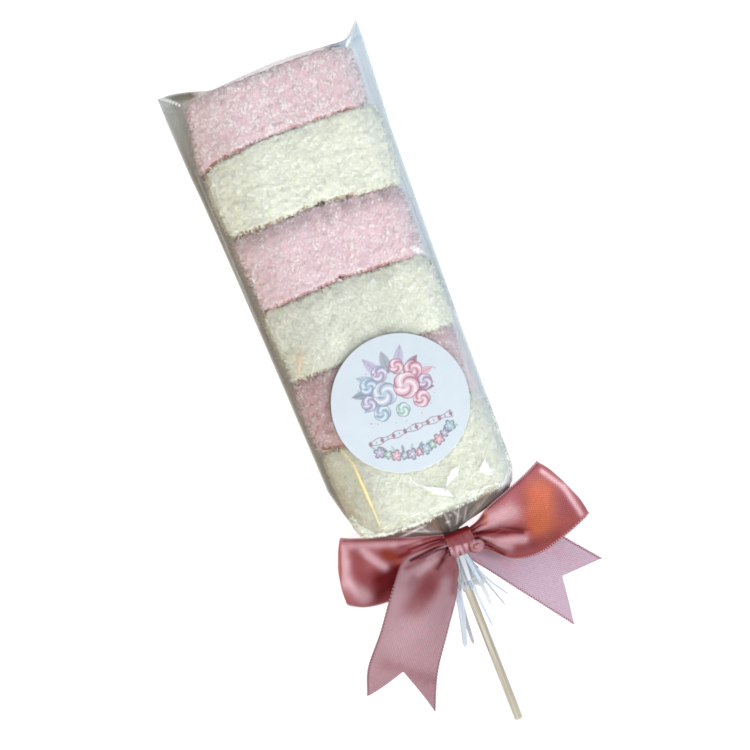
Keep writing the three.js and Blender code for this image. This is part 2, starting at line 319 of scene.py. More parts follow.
def slab_shell(middle: Array, thickness: float, pattern: Array) -> Shell:
    """A thin closed sheet: two copies of a grid, half the thickness to either side along its normals.

    Args:
        middle: The sheet's middle surface, shaped (rows, columns, 3).
        thickness: Its thickness in millimetres.
        pattern: Coordinates of its pattern, shaped (rows, columns, 2).

    Returns:
        The shell, with its faces outwards.
    """
    rows, columns = middle.shape[:2]
    normal = unit(np.cross(np.gradient(middle, axis=0), np.gradient(middle, axis=1)))
    points = np.concatenate([(middle + normal * thickness / 2).reshape(-1, 3),
                             (middle - normal * thickness / 2).reshape(-1, 3)])
    number = np.arange(rows * columns).reshape(rows, columns)
    corners = [number[:-1, :-1], number[1:, :-1], number[1:, 1:], number[:-1, 1:]]
    front = np.stack(corners, -1).reshape(-1, 4)
    rim = np.concatenate([number[0, :-1], number[:-1, -1], number[-1, :0:-1], number[:0:-1, 0]])
    after = np.roll(rim, -1)
    wall = np.stack([rim, after, after + number.size, rim + number.size], -1)
    uv = np.tile(pattern.reshape(-1, 2), (2, 1))
    return Shell(points, [front, front[:, ::-1] + number.size, wall], {}, uv).outward()


# ---- finishes ----


class Bench:
    """Lays out the nodes of one material, group or world.

    Attributes:
        tree: The node tree that it works in.
    """

    def __init__(self, tree: bpy.types.NodeTree) -> None:
        """Takes the tree to work in."""
        self.tree = tree

    def feed(self, node: Node, inputs: dict) -> None:
        """Fills a node's sockets.

        Args:
            node: The node.
            inputs: What each of its sockets gets, by name or number: a value, or a socket to link from.
        """
        for key, value in inputs.items():
            if isinstance(value, Socket):
                self.tree.links.new(value, node.inputs[key])
            else:
                node.inputs[key].default_value = value

    def node(self, kind: str, inputs: dict | None = None, **settings: object) -> Node:
        """Adds a node.

        Args:
            kind: Its type, without the leading words ShaderNode.
            inputs: What its sockets get.
            **settings: Its own settings.

        Returns:
            The new node.
        """
        made = self.tree.nodes.new("ShaderNode" + kind)
        for key, value in settings.items():
            setattr(made, key, value)
        self.feed(made, inputs or {})
        return made

    def maths(self, what: str, a: object, b: object = 0.0, clamp: bool = False) -> Socket:
        """One arithmetic step on two numbers."""
        return self.node("Math", {0: a, 1: b}, operation=what, use_clamp=clamp).outputs[0]

    def blend(self, share: object, a: object, b: object, how: str = "MIX") -> Socket:
        """A colour between a and b, by the share of b."""
        a, b = (c if isinstance(c, Socket) else (*c, 1.0) for c in (a, b))
        return self.node("Mix", {0: share, 6: a, 7: b}, data_type="RGBA", blend_type=how).outputs[2]

    def grey(self, value: object) -> Socket:
        """A grey of that brightness."""
        return self.node("CombineColor", {0: value, 1: value, 2: value}).outputs[0]

    def dimmed(self, colour: object, value: object) -> Socket:
        """A colour times a number."""
        return self.blend(1.0, colour, self.grey(value), "MULTIPLY")

    def carried(self, name: str, what: str = "Fac") -> Socket:
        """A value or colour that the mesh carries by that name."""
        return self.node("Attribute", attribute_name=name).outputs[what]

    def span(self, value: object, low: float, high: float, to_low: float, to_high: float) -> Socket:
        """Maps a value from one range to another and holds it there."""
        ranges = {"Value": value, "From Min": low, "From Max": high, "To Min": to_low, "To Max": to_high}
        return self.node("MapRange", ranges).outputs[0]

    def bump(self, height: object, distance: float, strength: float) -> Socket:
        """A normal from a height, the distance given in millimetres."""
        inputs = {"Height": height, "Distance": distance * MM, "Strength": strength}
        return self.node("Bump", inputs).outputs[0]


def grain_group() -> bpy.types.NodeTree:
    """The fine grain that coatings, wood and paper share.

    Returns:
        A node group from Vector, Size in waves per metre and Detail to Height, which runs from 0 to 1,
        and Tone, a slower field of the same kind.
    """
    group = bpy.data.node_groups.get("fine_grain")
    if group:
        return group
    group = bpy.data.node_groups.new("fine_grain", "ShaderNodeTree")
    for name, way, kind in (("Vector", "INPUT", "Vector"), ("Size", "INPUT", "Float"),
                            ("Detail", "INPUT", "Float"), ("Height", "OUTPUT", "Float"),
                            ("Tone", "OUTPUT", "Float")):
        group.interface.new_socket(name, in_out=way, socket_type="NodeSocket" + kind)
    bench = Bench(group)
    into = group.nodes.new("NodeGroupInput").outputs
    out = group.nodes.new("NodeGroupOutput")
    fine = bench.node("TexNoise", {"Vector": into[0], "Scale": into[1], "Detail": into[2],
                                   "Roughness": 0.6})
    slow = bench.node("TexNoise", {"Vector": into[0], "Detail": 2.0,
                                   "Scale": bench.maths("MULTIPLY", into[1], 0.16)})
    bench.feed(out, {0: fine.outputs[0], 1: slow.outputs[0]})
    return group


@dataclass(frozen=True)
class Finish:
    """What every finish has: its name, and how it starts a material."""

    name: str

    def start(self) -> tuple[Material, Bench, Node]:
        """Starts the material.

        Returns:
            The empty material, its bench and its one Principled shader.
        """
        made = bpy.data.materials.new(self.name)
        made.use_nodes = True
        return made, Bench(made.node_tree), made.node_tree.nodes["Principled BSDF"]

    def grain(self, bench: Bench, size: float, detail: float = 3.0, along: float = 1.0) -> dict:
        """Places the shared grain on object coordinates.

        Args:
            bench: The material's bench.
            size: Waves per metre.
            detail: How much finer grain lies over it.
            along: How close its waves lie along Y, as a share of those across.

        Returns:
            Its outputs, Height and Tone.
        """
        place = bench.node("Mapping", {"Vector": bench.node("TexCoord").outputs["Object"],
                                       "Scale": (1.0, along, 1.0)})
        made = bench.tree.nodes.new("ShaderNodeGroup")
        made.node_tree = grain_group()
        bench.feed(made, {0: place.outputs[0], 1: size, 2: detail})
        return made.outputs


@dataclass(frozen=True)
class CoatingFinish(Finish):
    """Sponge sweet under dried coconut, in four tones.

    Attributes:
        deep: Painted red-brown shade deep between two blocks and low on their faces, tint 0.
        shade: Below and between the flakes, tint 0.3.
        main: Most flakes, tint 0.5.
        pale: The bare white flakes, tint 1.
    """

    deep: Colour
    shade: Colour
    main: Colour
    pale: Colour

    def build(self) -> Material:
        """Colour from the carried tint, 0 deep to 1 pale, times the carried dim, which holds painted shade
        and light; soft grain in tone and height.

        Returns:
            The material.
        """
        made, bench, shader = self.start()
        grain = self.grain(bench, 900)
        tint = bench.carried("tint")
        low = bench.blend(bench.span(tint, 0, 0.3, 0, 1), self.deep, self.shade)
        mid = bench.blend(bench.span(tint, 0.3, 0.5, 0, 1), low, self.main)
        full = bench.blend(bench.span(tint, 0.5, 1, 0, 1), mid, self.pale)
        tone = bench.span(grain["Tone"], 0.3, 0.7, 0.93, 1.03)
        bench.feed(shader, {
            "Base Color": bench.dimmed(full, bench.maths("MULTIPLY", tone, bench.carried("dim"))),
            "Normal": bench.bump(grain["Height"], 0.15, 0.6),
            "Roughness": bench.span(grain["Height"], 0.2, 0.8, 0.6, 0.85),
            "Specular IOR Level": 0.15})
        return made


@dataclass(frozen=True)
class FilmFinish(Finish):
    """Clear glossy film that mirrors a little, more on the slant and where folds lie on each other."""

    straight: float = 0.035
    slanted: float = 0.62
    fall: float = 3.5

    def build(self) -> Material:
        """Alpha = straight + slanted · facing^fall + carried haze, which also holds painted glints,
        reflections and shade; haze also dulls what it mirrors.

        Returns:
            The material.
        """
        made, bench, shader = self.start()
        haze = bench.carried("haze")
        facing = bench.node("LayerWeight", {"Blend": 0.5}).outputs["Facing"]
        slant = bench.maths("MULTIPLY", bench.maths("POWER", facing, self.fall), self.slanted)
        # The carried haze and tone paint glints, reflections and shade onto the film.
        bench.feed(shader, {
            "Alpha": bench.maths("ADD", bench.maths("ADD", slant, self.straight), haze, clamp=True),
            "Base Color": bench.carried("sheen_tone", "Color"),
            "Roughness": bench.span(haze, 0.05, 0.7, 0.08, 0.4),
            "Metallic": bench.span(haze, 0.06, 0.2, 1, 0.12)})
        return made


@dataclass(frozen=True)
class BambooFinish(Finish):
    """Bare bamboo with fine fibres along it, its main tone light and the tone between them dark."""

    light: Colour = (0.58, 0.555, 0.485)
    dark: Colour = (0.36, 0.29, 0.20)

    def build(self) -> Material:
        """Fibres are the shared grain stretched 40 times along the stick, in tone and height.

        Returns:
            The material.
        """
        made, bench, shader = self.start()
        grain = self.grain(bench, 2200, 4, 0.025)
        mixed = bench.maths("MULTIPLY", grain["Height"], grain["Tone"])
        bench.feed(shader, {
            "Base Color": bench.blend(bench.span(mixed, 0.16, 0.36, 0, 1), self.dark, self.light),
            "Normal": bench.bump(grain["Height"], 0.1, 0.7),
            "Roughness": bench.span(grain["Tone"], 0.3, 0.7, 0.42, 0.62)})
        return made


@dataclass(frozen=True)
class PaperFinish(Finish):
    """Smooth coated label paper with its print."""

    def build(self) -> Material:
        """The carried print over paper, with a faint tooth.

        Returns:
            The material.
        """
        made, bench, shader = self.start()
        grain = self.grain(bench, 1500)
        shade = bench.span(grain["Tone"], 0.3, 0.7, 0.97, 1)
        bench.feed(shader, {
            "Base Color": bench.dimmed(bench.carried("print", "Color"), shade),
            "Normal": bench.bump(grain["Height"], 0.01, 0.5),
            "Roughness": bench.span(grain["Tone"], 0.3, 0.7, 0.3, 0.4)})
        return made


@dataclass(frozen=True)
class SatinFinish(Finish):
    """Double satin: dusty rose with a deep red ground, a cool broad sheen and woven edges.

    Attributes:
        across: Pitch of the weave along the ribbon, in millimetres.
        along: Its pitch across the ribbon.
        loop: Tone of the loops of its edge, with gap between them.
    """

    across: float = 0.95
    along: float = 0.8
    gap: Colour = (0.27, 0.07, 0.075)
    loop: Colour = (0.66, 0.42, 0.46)
    sheen: Colour = (1.0, 0.66, 0.74)

    def wave(self, bench: Bench, value: object, pitch: float) -> Socket:
        """A sine of a length in millimetres, -1 to 1, by its pitch."""
        return bench.maths("SINE", bench.maths("MULTIPLY", value, 2.0 * math.pi / pitch))

    def floats(self, bench: Bench, spot: Socket, scale: Place, detail: float) -> Socket:
        """Noise stretched one way, as the threads lie."""
        place = bench.node("Mapping", {"Vector": spot, "Scale": scale}).outputs[0]
        return bench.node("TexNoise", {"Vector": place, "Scale": 1.0, "Detail": detail}).outputs[0]

    def build(self) -> Material:
        """The carried colour, with its painted light and shade, times the weave, a check of two sines over
        two noises, long each its own way.

        Returns:
            The material.
        """
        made, bench, shader = self.start()
        spot = bench.node("UVMap", uv_map="UVMap").outputs[0]
        parts = bench.node("SeparateXYZ", {0: spot}).outputs
        check = bench.maths("MULTIPLY", self.wave(bench, parts[0], self.across),
                            self.wave(bench, parts[1], self.along))
        long_way = bench.maths("MULTIPLY", self.floats(bench, spot, (0.35, 6.0, 1.0), 3), 0.6)
        cross_way = bench.maths("MULTIPLY", self.floats(bench, spot, (5.0, 0.5, 1.0), 2), 0.4)
        weave = bench.maths("ADD", bench.maths("ADD", long_way, cross_way),
                            bench.maths("MULTIPLY", check, 0.2))
        # The carried colour holds painted highlights, painted shade and the warm lamp's painted glow.
        cloth = bench.dimmed(bench.carried("dye", "Color"), bench.span(weave, 0.35, 0.65, 0.74, 1.16))
        ticks = bench.span(self.wave(bench, parts[0], PICOT_PITCH), -0.4, 0.4, 0, 1)
        picot = bench.blend(ticks, self.gap, self.loop)
        bench.feed(shader, {
            "Base Color": bench.blend(bench.carried("selvedge"), cloth, picot),
            "Roughness": bench.span(weave, 0.3, 0.7, 0.33, 0.42),
            "Normal": bench.bump(weave, 0.09, 0.5),
            "IOR": 1.55,
            "Specular Tint": (*self.sheen, 1.0)})
        return made


@dataclass(frozen=True)
class FloorFinish(Finish):
    """Matte pale paper."""

    def build(self) -> Material:
        """Nearly white, with a faint grain.

        Returns:
            The material.
        """
        made, bench, shader = self.start()
        shade = bench.span(self.grain(bench, 40)["Tone"], 0.3, 0.7, 0.925, 0.93)
        bench.feed(shader, {"Base Color": bench.grey(shade), "Roughness": 0.9, "Specular IOR Level": 0.1})
        return made


# ---- the film bag ----


# Colours of the painted glints, painted reflections and painted shade that the film carries on its folds and
# veils.
WHITE = (0.95, 0.96, 0.97)
YELLOW = (0.95, 0.78, 0.36)
ORANGE = (0.90, 0.64, 0.42)
AMBER = (0.34, 0.18, 0.07)
BROWN = (0.34, 0.22, 0.07)
BLUE = (0.30, 0.38, 0.46)
SKY = (0.50, 0.57, 0.66)

# Sharp folds in the film's front: x and y from and to, height, width, haze and tone.
# The haze of a fold is a painted glint along it, and with brown a painted shade.
CREASES = (
    (-38.4, 90, -35.2, 87, 0.05, 0.22, 1.2, WHITE), (-37.6, 89.2, -32.4, 83.6, 0.05, 0.26, 3, WHITE),
    (38.4, 91, 31.3, 82.6, 0.05, 0.45, 3, WHITE), (-23.7, -51, -21.2, -59.5, 0.1, 0.4, 0.5, YELLOW),
    (-21.4, -58, -20.9, -74, 0.1, 0.55, 1, YELLOW), (-21, -66, -20.5, -82.7, 0.1, 0.36, 0.8, YELLOW),
    (28.6, 7.2, 27.9, 3, 0.2, 0.4, 0.2, WHITE), (-23.6, -13.4, -28.6, -22, 0.2, 0.9, 0.45, ORANGE),
    (-26.6, -14, -28.2, -17, 0.1, 0.5, 0.25, ORANGE), (-5, -68.3, -4.3, -71.2, 0.1, 0.3, 0.7, WHITE),
    (-4.5, -70.8, -2.8, -73.4, 0.1, 0.3, 0.75, WHITE), (-3.2, -73, 0, -75.6, 0.1, 0.34, 0.75, WHITE),
    (7, -78, 12, -72.8, 0.1, 0.24, 0.4, WHITE), (6.6, -79.2, 13.4, -74.2, 0.1, 0.24, 0.4, WHITE),
    (24.2, -70.4, 22.2, -73.6, 0.1, 0.25, 0.5, WHITE), (22.7, -71.8, 24.2, -82.8, 0.1, 0.25, 0.4, WHITE),
    (19.6, -76.6, 15.6, -78.5, 0.1, 0.28, 0.5, WHITE), (-29.6, -56, -27.4, -80, -0.2, 0.6, 0.1, BROWN),
    (-25.6, -60, -24.6, -78, 0.1, 0.3, 0.1, WHITE), (29.6, -55, 29.8, -80, 0.2, 0.4, 0.12, BLUE),
    (31.4, -60, 30.9, -78, 0.1, 0.3, 0.2, WHITE), (32.5, 20, 31.6, -45, 0.1, 0.35, 0.12, BLUE),
    (33.4, 60, 33, 10, 0.1, 0.35, 0.15, WHITE), (-34, 70, -33.2, 20, 0.1, 0.35, 0.2, BROWN),
    (-35.8, 60, -34.6, 0, 0.1, 0.25, 0.2, WHITE), (-32.9, 20, -32.2, -45, 0.1, 0.3, 0.2, BROWN),
    (-28.4, 52, -27.8, 33, 0.1, 0.6, 0.12, YELLOW), (-15.5, -86.5, 0, -93, 0.25, 0.4, 0.25, WHITE),
    (-8, -87, -4.5, -91.5, 0.2, 0.4, 0.2, WHITE), (-18, -89.4, -5, -88.4, 0.1, 0.3, 0.7, WHITE),
    (-2, -86.4, -1, -93.5, -0.2, 0.5, 0.4, BROWN), (2.6, -86, 3.4, -92.5, 0.2, 0.4, 0.25, WHITE),
    (9, -85.5, 5.4, -93.5, 0.25, 0.4, 0.25, WHITE), (11, -87.6, 8, -93.8, 0.15, 0.3, 0.35, WHITE),
    (6, -87, 7.4, -90, 0.15, 0.35, 0.4, WHITE), (2.4, -90.2, 3.6, -90.4, 0.1, 0.3, 0.6, WHITE),
    (4.4, -88, 4.7, -88.5, 0.1, 0.3, 0.5, WHITE), (20, -86.5, 9, -93, 0.3, 0.6, 0.15, WHITE),
    (10.4, -94, 16.8, -92.2, 0.1, 0.4, 0.8, WHITE), (15.6, -86.9, 24.2, -84.4, 0.3, 0.45, 0.55, AMBER),
    (14.6, -88, 15.9, -90.6, 0.3, 0.3, 0.55, AMBER), (24.4, -86, 31.2, -79.8, 0.3, 0.8, 0.3, WHITE),
)


@dataclass(frozen=True)
class Facet:
    """A flat patch pressed into the film's front, between sharp folds.

    Attributes:
        corners: Its convex outline, anticlockwise, x and y in millimetres.
        slope: How much the film rises on it along x and y.
        haze: How much whiter the film is on it, a painted highlight.
    """

    corners: tuple[Pair, ...]
    slope: Pair
    haze: float


@dataclass(frozen=True)
class FilmForm:
    """The film's places x, y and z and what its veils go by, in arrays shaped (rings, around).

    Attributes:
        front: Whether a place is on the front.
        share: How far it is closed over the sealed end, 1 at the seam.
        out: Where it lies between the flat part, 0, and the side, 1.
        bulge: Its height as a share of the flat part's.
        gather: How far it is gathered, 1 at the neck.
        haze: The painted glints and painted shade along the creases and the painted highlights of the facets.
        hue: Their painted colour times that haze.
    """

    x: Array
    y: Array
    z: Array
    front: Array
    share: Array
    out: Array
    bulge: Array
    gather: Array
    haze: Array
    hue: Array


@dataclass
class FilmBag:
    """The clear film bag: tube round the blocks, sealed end with two ears, gather and neck.

    Attributes:
        stations: Rows of y, reach left, reach right, half thickness, flat half width and fall.
        columns: Places across the front, and as many across the back.
        edge: Half the thickness where the two faces meet.
        close_start: Where the film starts to close towards the seam.
        top_line: The seam's line, as x and y pairs.
        creases: The sharp folds of its front, with painted glints along them.
        facets: The flat patches between them, with painted highlights.
        cool: The painted reflection on its right side.
        warm: The painted reflection on its left side, and brown the painted shade on that side's lower part.
        pale: The painted reflection on the ears.
        gathered: The painted shade on the gather, and tuft the painted reflection on the neck beyond the
            knot.
    """

    stations: tuple[tuple[float, ...], ...] = (
        (90, 38.8, 39.6, MID_Z, 31, 0.62), (80, 38.7, 38.9, MID_Z, 31, 0.62),
        (60, 37.9, 37.5, MID_Z, 31, 0.6), (50, 37.2, 36.7, MID_Z, 31, 0.6),
        (17, 35.7, 35.6, MID_Z, 30.5, 0.6), (-26, 34.2, 34.2, MID_Z, 30, 0.58),
        (-65, 33, 33.4, MID_Z, 28.5, 0.54), (-74, 30.9, 33.1, MID_Z, 27, 0.5),
        (-80, 29, 32.8, MID_Z, 25.5, 0.5), (-83.6, 27, 31.8, 12.65, 22.5, 0.6),
        (-85, 26.2, 31.4, 12, 21, 0.6), (-88, 21, 28.6, 9.3, 12, 0.55), (-90, 17, 22.6, 7.4, 8, 0.5),
        (-91.6, 12, 17.4, 6, 4, 0.5), (-93, 7, 10.8, 4.8, 1, 0.5),
        (NECK_TOP, 1.3, 6.5, NECK_RADIUS, 0, 0.5), (NECK_END, 1.3, 6.5, NECK_RADIUS, 0, 0.5),
    )
    columns: int = 150
    edge: float = 0.12
    close_start: float = 83.8
    top_line: tuple[Pair, ...] = (
        (-38.9, 90.4), (-35, 90.5), (-32, 90), (-28.5, 89.1), (-25, 87.9), (-22, 86.7),
        (-19.2, 86.1), (-14, 86.6), (-8, 87.2), (-3.4, 87.5), (4, 87.9), (10.9, 87.9), (18, 87.3),
        (25.2, 86.5), (30.2, 85.9), (32.5, 86.6), (35, 88.8), (38.6, 91.8))
    creases: tuple[tuple, ...] = CREASES
    facets: tuple[Facet, ...] = (
        Facet(((-1.6, -74.6), (3, -79.6), (8.2, -83), (6.6, -78.9), (2.6, -76.4)), (0, 0.22), 0.62),
        Facet(((5.8, -79.2), (10, -76.4), (13.6, -74.2), (13.2, -72.4), (10.4, -72.8), (7.4, -76.4)),
              (0.04, 0.22), 0.42),
        Facet(((17.6, -78.2), (21.8, -79.6), (24.2, -83), (22.9, -71.6), (20.6, -75.6)), (0, 0.22), 0.6),
        Facet(((24.6, 7.6), (27.6, 3.4), (30.4, 2.4), (29.4, 4.6), (27.8, 6.6)), (0, 0.2), 0.5),
        Facet(((27, -53), (34.5, -53), (34.5, -20), (30.5, -20)), (0, 0), 0.14),
    )
    cool: Colour = (0.66, 0.81, 0.90)
    warm: Colour = (0.215, 0.18, 0.105)
    brown: Colour = (0.145, 0.10, 0.035)
    pale: Colour = (0.52, 0.585, 0.58)
    gathered: Colour = (0.13, 0.068, 0.052)
    tuft: Colour = (0.70, 0.73, 0.76)

    def station(self, y: Array) -> list[Array]:
        """The outline's five values at places along the pack, straight between the stations."""
        table = np.array(self.stations)[::-1]
        return [np.interp(y, table[:, 0], table[:, k]) for k in range(1, 6)]

    def seam(self, x: Array) -> Array:
        """The sealed end's line: straight between the top line's places, softened over 1 mm."""
        line = np.array(self.top_line).T
        return np.mean([np.interp(x + step, *line) for step in (-0.5, 0.0, 0.5)], axis=0)

    def rows(self) -> Array:
        """Places along the pack, close together where the film is folded.

        Returns:
            Values of y, from the sealed end on.
        """
        folds = -60.0
        return np.concatenate([np.linspace(self.close_start, folds, 118)[:-1],
                               np.linspace(folds, NECK_TOP, 92)[:-1],
                               np.linspace(NECK_TOP, NECK_END, 34)])

    def lift(self, x: Array, y: Array) -> tuple[Array, Array, Array]:
        """What the creases, facets and slack add to the front.

        Args:
            x: Places across the pack.
            y: Places along it.

        Returns:
            The height, the strength of the painted glints and shade, and their colour times that strength at
            each place. A crease is height · e^(-distance / width), faded towards its ends; a facet is a
            tilted plane, held to its outline.
        """
        rise = 0.08 * soft_noise(np.stack([x, y], -1), 26, 5)
        haze = np.zeros_like(x)
        hue = np.zeros((*x.shape, 3))
        for *ends, height, width, painted_amount, tone in self.creases:
            a, b = np.array(ends[:2]), np.array(ends[2:])
            length = float(np.linalg.norm(b - a))
            way = (b - a) / length
            held = np.clip((x - a[0]) * way[0] + (y - a[1]) * way[1], 0, length)
            off = np.hypot(x - a[0] - way[0] * held, y - a[1] - way[1] * held)
            fade = np.sin(np.pi * np.clip(held / length, 0.06, 0.94)) ** 0.5
            rise = rise + height * np.exp(-off / width) * fade
            # A crease's haze is a painted glint along it, and with a brown tone a painted shade.
            veil = painted_amount * bell(off, width) * fade
            haze = haze + veil
            hue = hue + veil[..., None] * np.array(tone)
        for patch in self.facets:
            outline = np.array(patch.corners)
            inside = np.full(x.shape, np.inf)
            for p, q in zip(outline, np.roll(outline, -1, axis=0)):
                way = (q - p) / np.linalg.norm(q - p)
                inside = np.minimum(inside, way[0] * (y - p[1]) - way[1] * (x - p[0]))
            middle = outline.mean(0)
            plane = patch.slope[0] * (x - middle[0]) + patch.slope[1] * (y - middle[1])
            rise = rise + ramp(inside, -0.5, 0.15) * plane
            # A facet's haze is a painted highlight.
            veil = patch.haze * ramp(inside, -0.3, 0.3)
            haze = haze + veil
            hue = hue + veil[..., None] * np.array(WHITE)
        return rise, haze, hue

    def form(self) -> FilmForm:
        """Lays out every ring of the bag.

        Returns:
            The film's places. Across the pack x = centre + reach · q. The faces lie at
            MID_Z ± (half · bulge + edge), where bulge = (1 - out^(0.5 + 1/fall))^fall. Cosines round
            the gather pleat it, and past close_start the faces close up to the seam's line.
        """
        shares = np.array([1.0, 0.985, 0.96, 0.93, 0.89, 0.84, 0.77, 0.68, 0.57, 0.44, 0.3, 0.15])
        y = np.concatenate([np.full(len(shares), self.close_start), self.rows()])[:, None]
        share = np.concatenate([shares, np.zeros(len(y) - len(shares))])[:, None]
        turn = np.linspace(-math.pi / 2, math.pi / 2, self.columns)
        q_front = 0.6 * turn / (math.pi / 2) + 0.4 * np.sin(turn)
        q = np.concatenate([q_front, q_front[::-1]])[None, :]
        side = np.repeat([1.0, -1.0], self.columns)[None, :]
        front = side > 0
        left, right, half, flat, fall = self.station(y)
        reach, centre = (right + left) / 2, (right - left) / 2
        across = reach * q
        out = np.clip((np.abs(across) - flat) / (reach - flat), 0, 1)
        bulge = (1.0 - out ** (0.5 + 1.0 / fall)) ** fall
        gather = ramp(-y, 80, -NECK_TOP)
        around = np.arcsin(np.clip(q, -1, 1)) * side + np.where(front, 0.0, math.pi)
        pleats = (0.035 * np.cos(7 * around) + 0.03 * (1 - 2 * np.abs(np.sin(6.5 * around + 0.7)))
                  + 0.02 * (1 - 2 * np.abs(np.sin(13.5 * around + 2.1))))
        ripple = 1.0 + gather * pleats
        x = centre + across * ripple
        y = y + (self.seam(x) - 0.8 * bulge - y) * share
        height = (half - self.edge) * bulge * ripple * (1.0 - share**5.0) ** 0.5 + self.edge * (1 - share)
        rise, haze, hue = self.lift(x, y)
        strength = np.where(front, bulge**0.5 * (1 - ramp(share, 0, 0.6)), 0.0)
        ear = np.where(front, 1.0, 0.4) * ramp(np.abs(x), 29, 31) * ramp(share, 0, 0.4)
        z = MID_Z + side * (height + rise * np.maximum(strength, ear * 0.8))
        return FilmForm(x, y, z, front, share, out, bulge, gather, haze * front, hue * front[..., None])

    def mirrored(self, form: FilmForm) -> tuple[Array, Array]:
        """What the film mirrors, place by place.

        Args:
            form: The film's places.

        Returns:
            The haze, shaped (rings, around), and its colour. The main veil lies beyond the blocks'
            sides, on the ears, along the seam and on the gather; its colour is a painted reflection,
            warm at the left and cool at the right, and a painted shade on the gather. A brown veil of
            painted shade lies over the blocks' left sides and a blue painted reflection over their right
            sides. The colour is the mean of the veils' and folds' colours by their haze.
        """
        x, y, front, share, gather = form.x, form.y, form.front, form.share, form.gather
        hold = [np.interp(y, *np.array(sorted(spot for pair in BLOCK_SIDES for spot in pair[k])).T)
                for k in (0, 1)]
        past = np.maximum(hold[0] - x, x - hold[1])
        fin = np.where(front, ramp(past, -0.4, 2), ramp(past, -3, -1.2)) * (1 - gather)
        flat_part = ramp(form.bulge, 0, 0.6)
        sides = 0.56 + np.where(front, -0.3, 0.18) * flat_part - 0.1 * ramp(x, -8, 8)
        ears = ramp(np.abs(x), 21, 31) * ramp(share, 0, 0.25)
        beyond = ramp(-y, 95, 100)
        middle = 1 - ramp(np.abs(x), 22, 32)
        veil = sides * fin * (1 - ears) + np.where(front, 0.34, 0.76) * ears
        veil = veil + (0.68 - 0.33 * beyond) * ramp(gather, 0.25, 0.6)
        veil = veil + (0.7 * ramp(share, 0.70, 0.95) - 0.5 * ramp(share, 0.05, 0.5)) * middle
        clear = (1 - fin) * (1 - gather)
        # Painted shade: a brown veil over the blocks' left sides; a blue painted reflection over their right
        # sides.
        left_painted_shade = 0.13 + 0.13 * ramp(-y, 46, 56) * ramp(-x, 14, 28)
        left_painted_shade = left_painted_shade * ramp(-x, 10, 29) * clear
        right_painted_sheen = 0.15 + 0.17 * ramp(-y, 16, 30) * ramp(y, -66, -48)
        right_painted_sheen = (right_painted_sheen + 0.08 * ramp(-y, 48, 60)) * ramp(x, 22, 30) * clear

        def mixed(a: Array, b: Array, amount: Array) -> Array:
            """A colour between a and b, by the amount of b."""
            return a + (b - a) * amount[..., None]

        cool, warm, brown, pale, gathered, tuft = (np.array(tone) for tone in (
            self.cool, self.warm, self.brown, self.pale, self.gathered, self.tuft))
        # Painted reflections: pale on the ears and top, warm at the left, cool at the right; brown is painted
        # shade.
        warm = mixed(warm, pale, np.maximum(ears, 0.6 * ramp(y, 55, 85)))
        dusk = 0.75 * ramp(-y, -78, -45) + 0.5 * ramp(0.8 - form.out, 0, 0.5) * (x < 0)
        warm = mixed(warm, brown, np.clip(dusk, 0, 1))
        gathered = gathered + ramp(x, -8, 6)[..., None] * np.array([-0.045, -0.005, 0.0])
        tone = mixed(warm, cool, ramp(x, -12, 12))
        tone = mixed(tone, mixed(gathered, tuft, beyond), ramp(gather, 0.15, 0.4))
        tone = mixed(tone, np.array(WHITE), 1 - ramp(fin + 2.0 * gather + ears, 0, 0.5))
        least = 0.045
        weights = np.maximum(veil, 0) + least, left_painted_shade, right_painted_sheen, form.haze
        tone = (tone * weights[0][..., None] + np.array(BROWN) * left_painted_shade[..., None]
                + np.array(SKY) * right_painted_sheen[..., None] + form.hue) / sum(weights)[..., None]
        return veil + left_painted_shade + right_painted_sheen + form.haze, tone

    def build(self, finish: Material) -> None:
        """Makes the bag and lets it stand for the solid one.

        Args:
            finish: The film's material.
        """
        form = self.form()
        haze, tone = self.mirrored(form)
        shell = ring_shell(np.stack([form.x, form.y, form.z], -1), {"haze": haze, "sheen_tone": tone},
                           first_pole=False)
        made = shell.piece("film_bag", finish, weld=True)
        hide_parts("bag")


